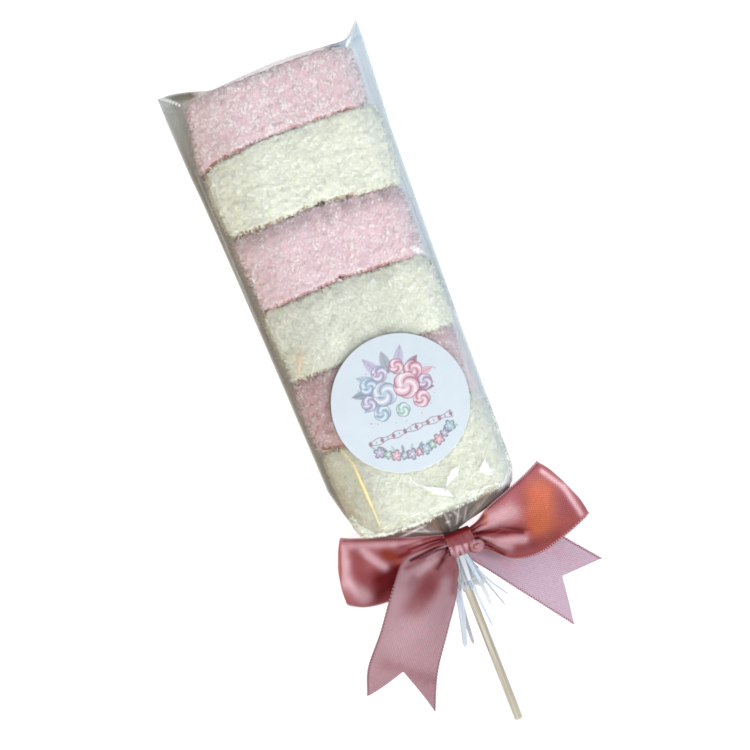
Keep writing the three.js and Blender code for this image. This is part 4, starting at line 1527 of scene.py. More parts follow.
@dataclass
class RoundLabel:
    """The round sticker with a generic pastel print of roses and a garland.

    Attributes:
        rings: Places from the middle to the rim.
        around: Places round the rim.
        top_z: Height of its front.
        most_z: What its bow never passes.
    """

    rings: int = 130
    around: int = 330
    top_z: float = 26.1
    most_z: float = 26.14
    thickness: float = 0.2
    paper: Colour = (0.61, 0.68, 0.745)
    back: Colour = (0.80, 0.82, 0.84)

    def print_at(self, x: Array, y: Array) -> Array:
        """The print's colour at places on the label.

        Args:
            x: Places across the label from its middle, in millimetres.
            y: Places along it.

        Returns:
            Linear colours. A bunch of roses on a fan of leaves stands above the middle, a band of
            lozenges between two wavy lines lies below it, and a hanging garland closes the print.
        """
        ink = np.broadcast_to(np.array(self.paper), (*x.shape, 3)).copy()

        def lay(mask: Array, colour: Colour) -> None:
            """Prints a colour where the mask is 1."""
            ink[:] = ink + (np.array(colour) - ink) * np.clip(mask, 0, 1)[..., None]

        def petals(cx: float, cy: float, size: float, turned: float, colour: Colour, edge: Colour) -> None:
            """A flower: its outline is size · (0.42 + 0.58 · |cos(5 · turn / 2)|^0.6).

            Args:
                cx, cy: Its middle.
                size: Its radius.
                turned: How far it is turned.
                colour: Its colour.
                edge: Colour of its outline.
            """
            r = np.hypot(x - cx, y - cy)
            turn = np.arctan2(y - cy, x - cx) + turned
            reach = size * (0.42 + 0.58 * np.abs(np.cos(5 * turn / 2)) ** 0.6)
            vein = 0.5 + 0.5 * np.cos(30 * turn)
            lay(ramp(reach - r, 0, 0.35) * 0.9 * (0.65 + 0.35 * vein), colour)
            lay(ramp(0.45 - np.abs(r - reach + 0.2), 0, 0.3) * 0.9, edge)

        def leaf(cx: float, cy: float, way: float, long: float, wide: float, colour: Colour) -> None:
            """A leaf: two arcs that meet at its ends, wide at the middle.

            Args:
                cx, cy: Its start.
                way: The angle that it points along.
                long: Its length.
                wide: Half its width.
                colour: Its colour.
            """
            a = (x - cx) * math.cos(way) + (y - cy) * math.sin(way)
            b = -(x - cx) * math.sin(way) + (y - cy) * math.cos(way)
            body = wide * (1.0 - (2 * a / long - 1.0) ** 2)
            lay(ramp(body - np.abs(b), 0, 0.3) * 0.75, colour)
            lay(ramp(0.22 - np.abs(b), 0, 0.15) * ramp(body - np.abs(b), 0, 0.2) * 0.6,
                tuple(0.55 * c for c in colour))

        def rose(cx: float, cy: float, size: float, turned: float, colour: Colour, line: Colour) -> None:
            """A rose seen from above: a scalloped disc with petal lines that wind inwards.

            Args:
                cx, cy: Its middle.
                size: Its radius.
                turned: How far it is turned.
                colour: Its colour.
                line: Colour of the lines between its petals.
            """
            r = np.hypot(x - cx, y - cy)
            turn = np.arctan2(y - cy, x - cx) + turned
            reach = size * (0.90 + 0.10 * np.abs(np.cos(2.5 * turn)) ** 0.7)
            winding = np.cos(2.5 * turn + 9.0 * (r / size) ** 0.8) * ramp(r / size, 0.05, 0.3)
            within = ramp(reach - r, 0, 0.3)
            lay(within * 0.85, colour)
            lay(within * ramp(winding, 0.15, 0.95) * 0.55, (0.92, 0.90, 0.92))
            lay(within * ramp(-winding, 0.55, 1) * 0.65, line)
            lay(ramp(0.3 - np.abs(r - reach + 0.15), 0, 0.25) * 0.7, line)

        mauve, pink, lilac = (0.27, 0.09, 0.16), (0.66, 0.36, 0.45), (0.44, 0.38, 0.56)
        mint, ice = (0.40, 0.58, 0.54), (0.34, 0.47, 0.60)
        grey, slate = (0.28, 0.30, 0.38), (0.20, 0.24, 0.33)
        for k in range(9):
            way = -0.35 + k * (math.pi + 0.7) / 8
            tone = (mauve, pink, mauve, lilac, grey, lilac, ice, slate, ice)[k]
            leaf(5.5 * math.cos(way), 6.0 + 5.0 * math.sin(way), way, 9.0 + 1.5 * (k % 2), 1.9, tone)
        for k, (cx, cy, size, tone, line) in enumerate((
                (-8.6, 9.4, 3.4, ice, slate), (-10.6, 3.8, 3.0, lilac, slate), (-7.4, -1.0, 3.2, ice, slate),
                (8.4, 9.6, 3.5, pink, mauve), (10.8, 4.0, 3.0, lilac, mauve), (7.6, -1.2, 3.3, pink, mauve),
                (-3.4, 12.4, 3.1, lilac, slate), (3.2, 12.8, 2.9, pink, mauve), (0.0, -2.6, 2.7, mint, slate),
                (-4.2, 5.0, 4.6, (0.46, 0.52, 0.64), slate), (4.2, 5.2, 4.9, (0.72, 0.46, 0.54), mauve))):
            rose(cx, cy, size, 0.8 * k, tone, line)
        for reach in (-9.2, -10.9):
            wave = reach + 0.35 * np.sin(x * 0.9) * np.sign(reach + 10.0)
            lay(ramp(0.24 - np.abs(y - wave), 0, 0.16) * (np.abs(x) < 16.0) * 0.75, mauve)
        for k in range(15):
            cx, size, tone = -15.4 + 2.2 * k, (0.95, 0.5)[k % 2], (mauve, slate)[k % 2]
            lay(ramp(size - np.abs(x - cx) - 0.7 * np.abs(y + 10.05), 0, 0.3) * 0.8, tone)
        for k in range(11):
            cx = -13.5 + 2.7 * k
            cy = -13.2 - 5.6 * (1.0 - (cx / 14.5) ** 2)
            tone = (lilac, mint, pink, ice, lilac, pink, ice, mint, pink, lilac, ice)[k]
            leaf(cx, cy + 0.6, 2.3 - 0.28 * k, 3.6, 0.8, grey if k % 2 else mint)
            petals(cx, cy, 2.2 - 0.5 * (k % 2), 0.7 * k, tone, tuple(0.45 * c for c in tone))
            lay(ramp(0.45 - np.hypot(x - cx, y - cy), 0, 0.2), (0.80, 0.72, 0.50))
        dots = np.random.default_rng(8)
        for _ in range(30):
            way, far = dots.uniform(0, 2 * math.pi), dots.uniform(13.5, 17)
            cx, cy = far * math.cos(way), 0.7 * far * math.sin(way) + 3.5
            tone = (pink, lilac, mint, ice, mauve)[int(dots.integers(5))]
            lay(ramp(dots.uniform(0.25, 0.5) - np.hypot(x - cx, y - cy), 0, 0.2) * 0.8, tone)
        return ink

    def build(self, finish: Material) -> None:
        """A disc of rings: the front from its middle to the rim, the rim, and the back.

        Args:
            finish: The paper's material.
        """
        rim = LABEL_RADIUS
        r = np.concatenate([np.linspace(0.02, rim - 0.12, self.rings), [rim - 0.03, rim, rim - 0.05],
                            np.linspace(rim - 1, 0.5, 8)])[:, None]
        drop = np.concatenate([np.zeros(self.rings), [0.02, 0.1], np.full(9, self.thickness)])[:, None]
        turn = circle(self.around)
        x, y = r * np.cos(turn), r * np.sin(turn)
        bow = -0.22 * (x / rim) ** 2 - 0.1 * (y / rim) ** 2
        bow = bow + 0.03 * soft_noise(np.stack([x, y], -1), 30, 12)
        z = np.minimum(self.top_z + bow, self.most_z) - drop
        ink = self.print_at(x, y)
        ink[self.rings:] = self.back
        rings = np.stack([x + LABEL_CENTRE[0], y + LABEL_CENTRE[1], z], -1)
        made = ring_shell(rings, {"print": ink}).piece("label_sticker", finish)
        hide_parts("label")


# ---- the satin bow ----


class SatinToneAndLight(Enum):
    """Tones of the double satin: its own rose, and the light and shade painted on it."""

    ROSE = (0.43, 0.115, 0.125)
    # Dusk and wine are painted shade; the warm glow and amber painted reflections of the warm lamp.
    DUSK = (0.30, 0.055, 0.060)
    WINE = (0.16, 0.003, 0.004)
    RUST = (0.34, 0.05, 0.02)
    AMBER = (0.70, 0.185, 0.085)
    # Blush and petal are painted highlights, and lilac a painted sheen.
    BLUSH = (0.72, 0.43, 0.475)
    PETAL = (0.90, 0.58, 0.63)
    LILAC = (0.62, 0.47, 0.55)


class RibbonSide(Enum):
    """Which way a ribbon part swells."""

    LEFT = -1
    RIGHT = 1


@dataclass
class RibbonPart:
    """One loop or tail of the bow, between two edges of the ribbon.

    Attributes:
        upper: Places along its upper edge.
        lower: Places along its lower edge, as many.
        crown: How far it swells in the middle.
        side: Which way it swells.
        cut: The ribbon's real length in it, before it was tied.
        notch: Where a tail's swallowtail is cut to, as a share of its length, or 0 for a loop.
        base: Its main tone, which on the tails is a painted sheen.
        dents: Rows of place along, place across, reach along, reach across and height of soft swellings.
        painted_light_strokes: Soft strokes of painted highlight, painted shade and painted lamp glow on its
            front: x and y from and to, width, strength and tone.
        folds: Rows of two places along and across, width and height of sharp folds.
        steps: Places along it, with columns across it.
    """

    name: str
    upper: tuple[Place, ...]
    lower: tuple[Place, ...]
    crown: float
    side: RibbonSide
    cut: float
    notch: float = 0.0
    base: SatinToneAndLight = SatinToneAndLight.ROSE
    dents: tuple[tuple[float, ...], ...] = ()
    painted_light_strokes: tuple[tuple[float | SatinToneAndLight, ...], ...] = ()
    folds: tuple[tuple[float, ...], ...] = ()
    steps: int = 420
    columns: int = 60
    thickness: float = 0.34

    def swellings(self, u: Array, v: Array) -> Array:
        """The dents' soft bells.

        Args:
            u: Places along the part, 0 to 1.
            v: Places across it, -1 to 1.

        Returns:
            Their sum, each height · e^(-(du / reach)² - (dv / reach)²).
        """
        total = np.zeros_like(u)
        for at, cross, long, wide, height in self.dents:
            total = total + height * np.exp(-(((u - at) / long) ** 2) - ((v - cross) / wide) ** 2)
        return total

    def creased(self, spot: Array) -> Array:
        """The sharp folds.

        Args:
            spot: Places on the flat ribbon, in millimetres.

        Returns:
            Their sum, each height · e^(-distance / width), faded towards its ends.
        """
        total = np.zeros(spot.shape[:-1])
        scale = np.array([self.cut, RIBBON_WIDTH / 2])
        for *ends, width, height in self.folds:
            start, end = np.array(ends[:2]) * scale, np.array(ends[2:]) * scale
            length = float(np.linalg.norm(end - start))
            way = (end - start) / length
            held = np.clip((spot - start) @ way, 0, length)
            off = np.linalg.norm(spot - start - held[..., None] * way, axis=-1)
            fade = np.sin(np.pi * np.clip(held / length, 0.03, 0.97)) ** 0.4
            total = total + height * np.exp(-off / width) * fade
        return total

    def surface(self) -> tuple[Array, Array, Array]:
        """The part's middle surface, its pattern coordinates and its colour with painted light and shade.

        Returns:
            Places shaped (steps, columns, 3), coordinates in millimetres and linear colours. A place
            lies between the edges at share (1 + v) / 2 and is raised along the surface's own normal by
            the crown, crown · (1 - v²), by pleats that die away from the knot, and by a bead along each
            edge with a groove beside it.
        """
        turn = np.linspace(-1, 1, self.columns)[None, :]
        v = 0.72 * turn + 0.28 * np.sin(turn * math.pi / 2)
        run = np.linspace(0, 1, self.steps)[:, None]
        reach = self.notch + (1.0 - self.notch) * np.abs(v) if self.notch else 1.0
        u = run * reach * np.ones_like(v)
        edges = [np.array(edge, float) for edge in (self.upper, self.lower)]
        upper, lower = (smooth_path(edge, u) for edge in edges)
        ahead, back = np.minimum(u + 0.01, 1), np.maximum(u - 0.01, 0)
        along = sum(smooth_path(edge, ahead) - smooth_path(edge, back) for edge in edges)
        outward = unit(np.cross(lower - upper, along))
        near = u if self.notch else np.minimum(u, 1.0 - u)
        pleat = 0.62 * bell(near, 0.13) * np.cos(2.5 * math.pi * v)
        fine = 0.30 * bell(near, 0.2) * np.cos(6.3 * math.pi * v + 1.2)
        sway = 0.22 * bell(near, 0.34) * np.cos(3.4 * math.pi * v + 0.5)
        swell = self.crown * (1.0 - v**2) * np.minimum(1, 5.0 * near)
        fibre = np.stack([u * self.cut, v * RIBBON_WIDTH / 2 * np.ones_like(u)], -1)
        soft = 0.10 * soft_noise(fibre, 19, len(self.name) * 7) * ramp(near, 0.05, 0.25)
        soft = soft + self.swellings(u, v)
        teeth = np.sin(2.0 * math.pi * u * self.cut / PICOT_PITCH)
        inward = (1.0 - np.abs(v)) * RIBBON_WIDTH / 2
        bead = (0.14 + 0.1 * teeth) * bell(inward, 0.4)
        groove = 0.08 * bell(inward - 0.9, 0.3)
        creases = self.creased(fibre)
        raised = ((swell + pleat + fine + sway + soft) * self.side.value
                  + (bead - groove + creases) * ramp(near, 0.02, 0.1))
        loops = 0.2 * teeth * bell(inward, 0.3) * np.sign(v) / RIBBON_WIDTH
        share = (1.0 + v) / 2.0 + loops
        places = upper + (lower - upper) * share[..., None] + outward * raised[..., None]
        front = 1.0 if self.notch else 1.0 - ramp(u, 0.56, 0.62)
        return places, fibre, self.dye_with_painted_light(places, front, creases)

    def dye_with_painted_light(self, places: Array, front: Array | float, creases: Array) -> Array:
        """The part's colour: its main tone, painted highlights and shade in its strokes, and painted wine
        shade in its pressed folds.

        Args:
            places: The part's places.
            front: Where the strokes show, 0 to 1.
            creases: Heights of its sharp folds.

        Returns:
            Linear colours. A stroke's share is strength · e^(-(distance / width)²).
        """
        dye = np.broadcast_to(np.array(self.base.value), places.shape)
        # The strokes paint highlights, shade and the warm lamp's glow.
        for *ends, width, strength, tone in self.painted_light_strokes:
            start, end = np.array(ends[:2]), np.array(ends[2:])
            way = end - start
            held = np.clip(((places[..., :2] - start) @ way) / (way @ way), 0, 1)[..., None]
            off = np.linalg.norm(places[..., :2] - start - held * way, axis=-1)
            share = np.clip(strength * bell(off, width) * front, 0, 1)[..., None]
            dye = dye + (np.array(tone.value) - dye) * share
        # Painted wine shade in the pressed folds.
        pressed = 0.8 * np.clip(-creases, 0, 1)[..., None]
        return dye + (np.array(SatinToneAndLight.WINE.value) - dye) * pressed

    def build(self, finish: Material) -> None:
        """Makes the part as a thin closed sheet.

        Args:
            finish: The satin's material.
        """
        places, pattern, dye = self.surface()
        shell = slab_shell(places, self.thickness, pattern)
        shell.points[:, 2] = np.maximum(shell.points[:, 2], 0)
        half = RIBBON_WIDTH / 2
        shell.layers = {"selvedge": ramp(np.abs(shell.uv[:, 1]), half - 0.75, half - 0.45),
                        "dye": np.tile(dye.reshape(-1, 3), (2, 1))}
        made = shell.piece(self.name, finish)
        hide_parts("ribbon_bow")


def bow_parts() -> list[RibbonPart]:
    """The bow's two loops and two tails.

    Returns:
        The parts, in the order in which they are made.
    """
    rose, dusk, wine, warm_glow, amber, blush, petal, lilac = SatinToneAndLight
    # Each part's strokes paint highlights, shade and the warm lamp's glow onto the satin.
    return [
        RibbonPart(
            "ribbon_loop_left",
            ((4, -95.5, 16), (-4, -93, 17.5), (-11.8, -90.3, 19.3), (-22.5, -86.3, 20), (-31, -83.4, 17.8),
             (-35, -82, 13.5), (-30, -85.4, 9.5), (-20, -90, 8.5), (-8, -94.4, 10.5), (4, -96.6, 12.8)),
            ((4, -100, 16), (-4.5, -102, 16.5), (-14, -107, 16.8), (-25, -109.3, 17.2), (-35.5, -108.2, 16),
             (-41.2, -105.3, 12), (-34, -107.5, 8), (-22, -107.5, 7), (-8, -102.5, 9.5), (4, -101, 12.8)),
            1.9, RibbonSide.LEFT, 92,
            dents=((0.47, 0.1, 0.05, 1.2, 0.8), (0.41, -0.5, 0.05, 0.5, -0.7), (0.35, -0.1, 0.05, 0.6, 0.7),
                   (0.29, -0.25, 0.05, 0.35, -0.9), (0.33, 0.6, 0.08, 0.3, -0.5)),
            painted_light_strokes=((-31.6, -90.8, -33, -96, 3.6, 0.6, dusk), (-30, -105.5, -24, -103, 3.4, 0.9, wine),
                  (-27.2, -100.6, -20, -99, 3.6, 1, wine), (-35.2, -85.4, -36.9, -90.4, 1.5, 0.9, blush),
                  (-36.9, -90.4, -39, -97.3, 1.7, 1, blush), (-38.6, -97.3, -35.4, -104.2, 2.2, 1, blush),
                  (-38.2, -97, -36.4, -102.8, 1, 0.6, petal), (-28.6, -91, -25.6, -95.4, 0.9, 0.8, petal),
                  (-35, -103.2, -34.2, -104.6, 2.4, 0.8, blush),
                  (-29.2, -88.6, -24.2, -96.8, 1.5, 1, blush),
                  (-32.6, -85.6, -18.2, -90.6, 1.3, 0.75, blush),
                  (-18.2, -90.6, -9.2, -93.2, 0.9, 0.6, blush), (-22.4, -92.6, -18, -96.8, 1.9, 1.1, warm_glow),
                  (-17.6, -95.6, -14, -95.2, 0.9, 0.8, wine), (-1, -94.9, -14, -94.4, 0.4, 0.9, wine),
                  (-2, -93.9, -16, -92.4, 0.35, 0.6, wine), (-33.6, -82.7, -13.6, -89.6, 0.8, 1.2, wine),
                  (-36, -83.6, -41.4, -99, 0.5, 0.9, warm_glow), (-41.4, -99, -41, -105, 0.5, 0.9, warm_glow)),
            folds=((0.02, -0.5, 0.17, -0.42, 0.7, -0.9), (0.03, 0.1, 0.2, 0, 0.7, -0.8),
                   (0.04, -0.1, 0.16, -0.2, 0.6, 0.5))),
        RibbonPart(
            "ribbon_loop_right",
            ((6, -96, 16), (13, -94, 17.3), (17.8, -90.9, 18.8), (26, -87.8, 20.2), (35, -84.6, 18.6),
             (41.6, -82.2, 13.5), (35.5, -86.4, 9.4), (26, -90.4, 8.6), (15, -94.4, 10.2),
             (6, -96.6, 12.8)),
            ((6, -101, 16), (13, -105, 17.8), (20.3, -111.4, 19), (29.6, -113.2, 19.4),
             (41.1, -110.7, 17.8), (52.6, -106.7, 12), (42, -108.5, 8.4), (30, -108.5, 7.8),
             (17, -104, 9.6), (6, -101.5, 12.8)),
            1.9, RibbonSide.RIGHT, 94,
            dents=((0.51, 0, 0.03, 1.3, 0.5), (0.24, -0.45, 0.06, 0.35, 0.7), (0.25, 0.42, 0.07, 0.2, 0.7),
                   (0.34, 0.8, 0.09, 0.25, -0.5)),
            painted_light_strokes=((45.6, -93, 45.2, -100, 2.8, 0.4, dusk), (38, -109.6, 29, -109, 2, 0.6, dusk),
                  (18.7, -95.6, 25.6, -95.2, 3.3, 1.2, blush), (37.8, -92.8, 34, -102.6, 4.8, 1.4, amber),
                  (41.8, -86, 47.2, -94.4, 0.9, 1.1, petal), (47.2, -94.4, 49.6, -105.8, 1, 1.1, petal),
                  (20, -95.2, 23.6, -94.8, 1.8, 0.4, petal), (20.4, -104.6, 26, -106.4, 0.8, 0.8, petal),
                  (43.6, -84.8, 50.3, -95.1, 0.7, 0.7, dusk), (50.3, -95.1, 52.2, -105.6, 0.7, 0.7, dusk),
                  (17.9, -103.7, 26.6, -106, 1.5, 1.1, blush),
                  (12.9, -100.8, 20.4, -107.2, 1.5, 0.9, blush),
                  (11.6, -98.6, 18.7, -100.1, 0.8, 1.1, wine), (18.7, -100.1, 26.6, -103.5, 0.9, 1.1, wine),
                  (11, -99.8, 14.4, -104.4, 0.7, 1, wine), (14.4, -104.4, 17.6, -108.6, 0.9, 0.9, wine),
                  (10.4, -95.6, 16, -93.2, 0.9, 0.9, wine), (18.6, -91, 41, -82.9, 0.7, 0.9, wine),
                  (17.2, -92, 15.4, -96.5, 0.4, 0.9, amber), (12, -97.2, 15.6, -97.4, 0.8, 0.7, blush),
                  (40, -105.5, 46.5, -107, 2.4, 0.22, amber)),
            folds=((0.03, -0.25, 0.24, -0.2, 0.8, -1.3), (0.24, -0.2, 0.34, 0.27, 0.9, -1.2),
                   (0.05, 0.15, 0.22, 0.7, 0.8, -0.9), (0.06, 0, 0.18, 0.25, 0.7, 0.5),
                   (0.04, -0.6, 0.14, -0.6, 0.8, -0.6))),
        RibbonPart(
            "ribbon_tail_left",
            ((2, -97.8, 18.6), (-8, -96.4, 21.6), (-16.1, -96.7, 23), (-23.3, -103.9, 22),
             (-33.4, -118.2, 14.5), (-42.8, -130.4, 6.5), (-46.5, -140, 1.8)),
            ((2, -101.5, 17.8), (0.9, -104.5, 17.8), (0.6, -108, 17.2), (-2.6, -115.3, 15.2),
             (-10, -127, 10), (-19.3, -141.1, 4.5), (-25.4, -154.7, 1.2)),
            0.6, RibbonSide.LEFT, 66, notch=5 / 6, steps=300, base=blush,
            dents=((0.24, 0.1, 0.08, 0.5, 0.9), (0.42, -0.1, 0.08, 0.6, -0.8),
                   (0.16, -0.45, 0.09, 0.12, -1.1)),
            painted_light_strokes=((-1, -104, -12, -104, 7, 0.8, rose), (-8.2, -107.4, -19.6, -115, 4.2, 1.2, rose),
                  (-12, -109.6, -17, -112.4, 2.6, 0.5, dusk), (-1, -107.7, -4.4, -114.6, 1.5, 0.8, rose),
                  (-9.2, -101.3, -19, -102.6, 1.4, 0.9, blush), (-9, -99.6, -17, -99.9, 0.9, 0.7, rose),
                  (-22, -121, -28, -124, 6, 0.6, petal), (-13.6, -103.7, -6.4, -100.8, 1.5, 0.7, petal),
                  (-26.5, -110.7, -20, -103.4, 2, 0.8, blush), (-5.6, -110.6, -9.6, -118, 2.4, 0.9, blush),
                  (-0.4, -97, -14.6, -98, 0.7, 1.1, wine), (-1, -95.6, -14.8, -96.6, 0.6, 0.8, blush),
                  (-0.8, -99.6, -6.6, -104.4, 0.9, 1, wine), (-1.6, -98.5, -9, -99.6, 0.6, 0.7, petal),
                  (-36, -131, -21, -144, 2.6, 0.4, rose)),
            folds=((0.03, -0.35, 0.17, -0.5, 0.8, -1.2), (0.17, -0.5, 0.33, -0.62, 0.8, -1.1),
                   (0.04, 0.3, 0.2, 0.35, 0.8, -0.6))),
        RibbonPart(
            "ribbon_tail_right",
            ((7, -99.5, 13.5), (14, -98.5, 8.4), (23, -98.5, 5.4), (35.5, -104, 4), (44.5, -115, 2.8),
             (52.8, -125, 1.2)),
            ((5, -102.4, 14), (6.6, -106.5, 10), (11, -112.5, 6.8), (19, -123.5, 4.4), (27, -134.3, 2.6),
             (34.1, -144, 1.1)),
            -0.5, RibbonSide.RIGHT, 60, notch=0.82, steps=280, base=lilac,
            painted_light_strokes=((12, -104, 26, -104, 8, 0.7, blush), (16, -110, 20, -115, 2.4, 0.6, blush),
                  (34, -112, 44, -124, 2.2, 0.35, blush))),
    ]


@dataclass
class RibbonKnot:
    """The knot's wrapped front, the small pucker beside it, and the band round the film's neck.

    Attributes:
        centre: Middle of the wrapped front.
        half: Half its width, length and depth.
        power: Power of its section; higher is squarer.
        band: Where the neck's band starts and ends.
    """

    centre: Place = (4.8, -99.0, 16.6)
    half: Place = (4.9, 4.7, 3.8)
    power: float = 2.6
    pucker: Place = (9.8, -102.3, 17.3)
    pucker_radius: float = 2.7
    band: Pair = (-103.0, -94.8)
    band_radius: float = 5.3

    def wrap(self) -> Shell:
        """The wrapped band: a flat tube round the loops' roots, crisp at both sides.

        Returns:
            The closed shell. Its section is |y / half|^power + |z / half|^power = 1. It keeps its full
            size from side to side and closes inwards past its two edges. One fold runs slanting over
            its front, the part above lying on the part below, with small gathers beside it.
        """
        around = circle(200)
        inside = np.array([0.15, 0.55, 0.86, 0.93])
        side = np.concatenate([inside, np.ones(70), inside[::-1]])[:, None]
        run = np.concatenate([np.full(4, -1.0), np.linspace(-1, 1, 70), np.full(4, 1.0)])[:, None]
        shape = np.abs(np.cos(around)) ** self.power + np.abs(np.sin(around)) ** self.power
        size = shape ** (-1.0 / self.power) * side
        x = self.half[0] * run * (1.0 - 0.05 * np.cos(around))
        y = self.half[1] * size * np.cos(around)
        z = self.half[2] * size * np.sin(around)
        front = ramp(np.sin(around), 0.1, 0.7) * ramp(1.0 - np.abs(run), 0, 0.12)
        slant = y + 0.12 * x + 0.5 + 0.9 * bell(x + 1.8, 2.2)
        lip = 0.3 * ramp(slant, -0.5, 0.7) - 0.1
        gathers = 0.10 * np.cos(2.1 * x + 0.7 * y) + 0.16 * bell(x - 1.0 + 0.7 * y, 0.7)
        low = ramp(-slant, 0, 1)
        bow = 0.35 * (1.0 - run**2)
        places = np.stack([x, y, z + (lip + gathers * (0.35 + low) + bow) * front - 0.35], -1)
        return ring_shell(places + np.array(self.centre))

    def dimple(self, turn: Array, off: Array, at: float, sway: float, width: float) -> Array:
        """A curved dent, deepest at 2.2 rad: a bell across the line off = at + sway · cos(2 · turn)."""
        return (0.55 + 0.45 * np.cos(turn - 2.2)) * bell(off - at - sway * np.cos(2 * turn), width)

    def bump(self) -> Shell:
        """The pucker: a small ball with a dimple and folds running into it.

        Returns:
            The closed shell.
        """
        around = circle(72)
        along = np.linspace(0.02, math.pi - 0.02, 48)[:, None]
        r = self.pucker_radius * (1.0 + 0.03 * np.cos(7 * around) * np.sin(along)
                                  - 0.2 * self.dimple(around, along, 0.44, 0.1, 0.2))
        places = np.stack([r * np.sin(along) * np.cos(around) * 1.25, r * np.sin(along) * np.sin(around),
                           r * np.cos(along)], -1)
        return ring_shell(places + np.array(self.pucker))

    def neck_band(self) -> Shell:
        """The band: a ring round the neck, gathered by fine folds, closed through its inside.

        Returns:
            The closed shell, its profile turned round the neck's axis.
        """
        around = circle(140)
        low, high = self.band
        profile = np.array([(low, 0.0), (low + 0.2, 0.35), (low + 1.2, 0.55), ((low + high) / 2, 0.6),
                            (high - 1.2, 0.55), (high - 0.2, 0.35), (high, 0.0), (high - 0.3, -0.1),
                            (low + 0.3, -0.1), (low, 0.0)])
        y, rise = profile[:, :1], profile[:, 1:]
        r = self.band_radius - 0.6 + rise + 0.16 * np.cos(11 * around + 1.0) * (rise > 0.2)
        places = np.stack([NECK_X + r * np.sin(around), y + 0 * around, MID_Z + r * np.cos(around)], -1)
        return ring_shell(places, poles=False).outward()

    def dye_with_painted_light(self, points: Array) -> Array:
        """The knot's colour: painted dusk shade above and in the pucker's dent, a paler painted highlight
        below and where it swells.

        Args:
            points: Places on the knot.

        Returns:
            Linear colours, one row each.
        """
        x, y = points[:, 0] - self.centre[0], points[:, 1] - self.centre[1]
        streak = soft_noise(np.stack([x, 0.3 * y], -1), 2, 31)
        # Painted shade: dusk on the upper part, darkest at its top edge; a paler painted highlight on the
        # lower part.
        low = ramp(-(y + 0.12 * x + 0.5), -0.3, 0.5) * (0.4 + 0.22 * streak)
        low = low + 0.1 * bell(y - 1, 1.3) * (1.0 + 0.4 * streak)
        # Painted shade in the pucker's dent and at its rim, and paler on its swell.
        off = points[:, :2] - np.array(self.pucker[:2])
        far, turn = np.hypot(off[:, 0], off[:, 1]), np.arctan2(off[:, 1], off[:, 0])
        ring = 0.6 - 0.55 * self.dimple(turn, far, 1.1, 0.3, 0.45) - 0.4 * ramp(far, 1.6, 2.8)
        low = np.where((far < 2.9) & (x > 2.2), ring, low)
        low = np.clip(low - 0.25 * ramp(y, 2.6, 4.4), -0.5, 1)[:, None]
        dusk, petal, wine = (np.array(tone.value) for tone in (SatinToneAndLight.DUSK, SatinToneAndLight.PETAL, SatinToneAndLight.WINE))
        return np.maximum(dusk + (petal - dusk) * low, wine)

    def build(self, finish: Material) -> None:
        """Joins the three into the knot.

        Args:
            finish: The satin's material.
        """
        parts = [self.wrap(), self.bump(), self.neck_band()]
        for part, axes in zip(parts, ([1, 0], [1, 0], [0, 1])):
            part.uv = part.points[:, axes]
        shell = joined(parts)
        shell.layers = {"selvedge": np.zeros(len(shell.points)), "dye": self.dye_with_painted_light(shell.points)}
        made = shell.piece("ribbon_knot", finish, weld=True)
        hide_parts("ribbon_bow")


# ---- the studio ----


@dataclass(frozen=True)
class SoftLight:
    """One area light, aimed at the pack.

    Attributes:
        way: Direction from the pack to the light.
        distance: How far off it stands, in metres.
        size: Its width and height, in metres.
        radiance: How bright its face is; the floor's white is about 1.
        only: First letters of the pieces that it lights alone, or nothing for all but satin and floor.
    """

    name: str
    way: Place
    distance: float
    size: Pair
    radiance: float
    colour: Colour
    only: tuple[str, ...] = ()

    def build(self) -> None:
        """Makes the light, its face towards the pack's middle; power in watts = pi · area · radiance."""
        lamp = bpy.data.lights.new(self.name, "AREA")
        lamp.shape = "RECTANGLE"
        lamp.size, lamp.size_y = self.size
        lamp.energy = math.pi * self.size[0] * self.size[1] * self.radiance
        lamp.color = self.colour
        made = bpy.data.objects.new(self.name, lamp)
        way = Vector(self.way).normalized()
        made.location = Vector((0.0, -0.03, 0.012)) + way * self.distance
        made.rotation_euler = way.to_track_quat("Z", "Y").to_euler()
        made.visible_camera = False
        bpy.context.scene.collection.objects.link(made)
        lit = bpy.data.collections.new(self.name + "_lights")
        for piece in bpy.context.scene.objects:
            own = piece.name.startswith(("ribbon_", "floor"))
            if piece.name.startswith(self.only) if self.only else not own:
                lit.objects.link(piece)
        made.light_linking.receiver_collection = lit
        if self.only == ("floor",):
            made.light_linking.blocker_collection = lit


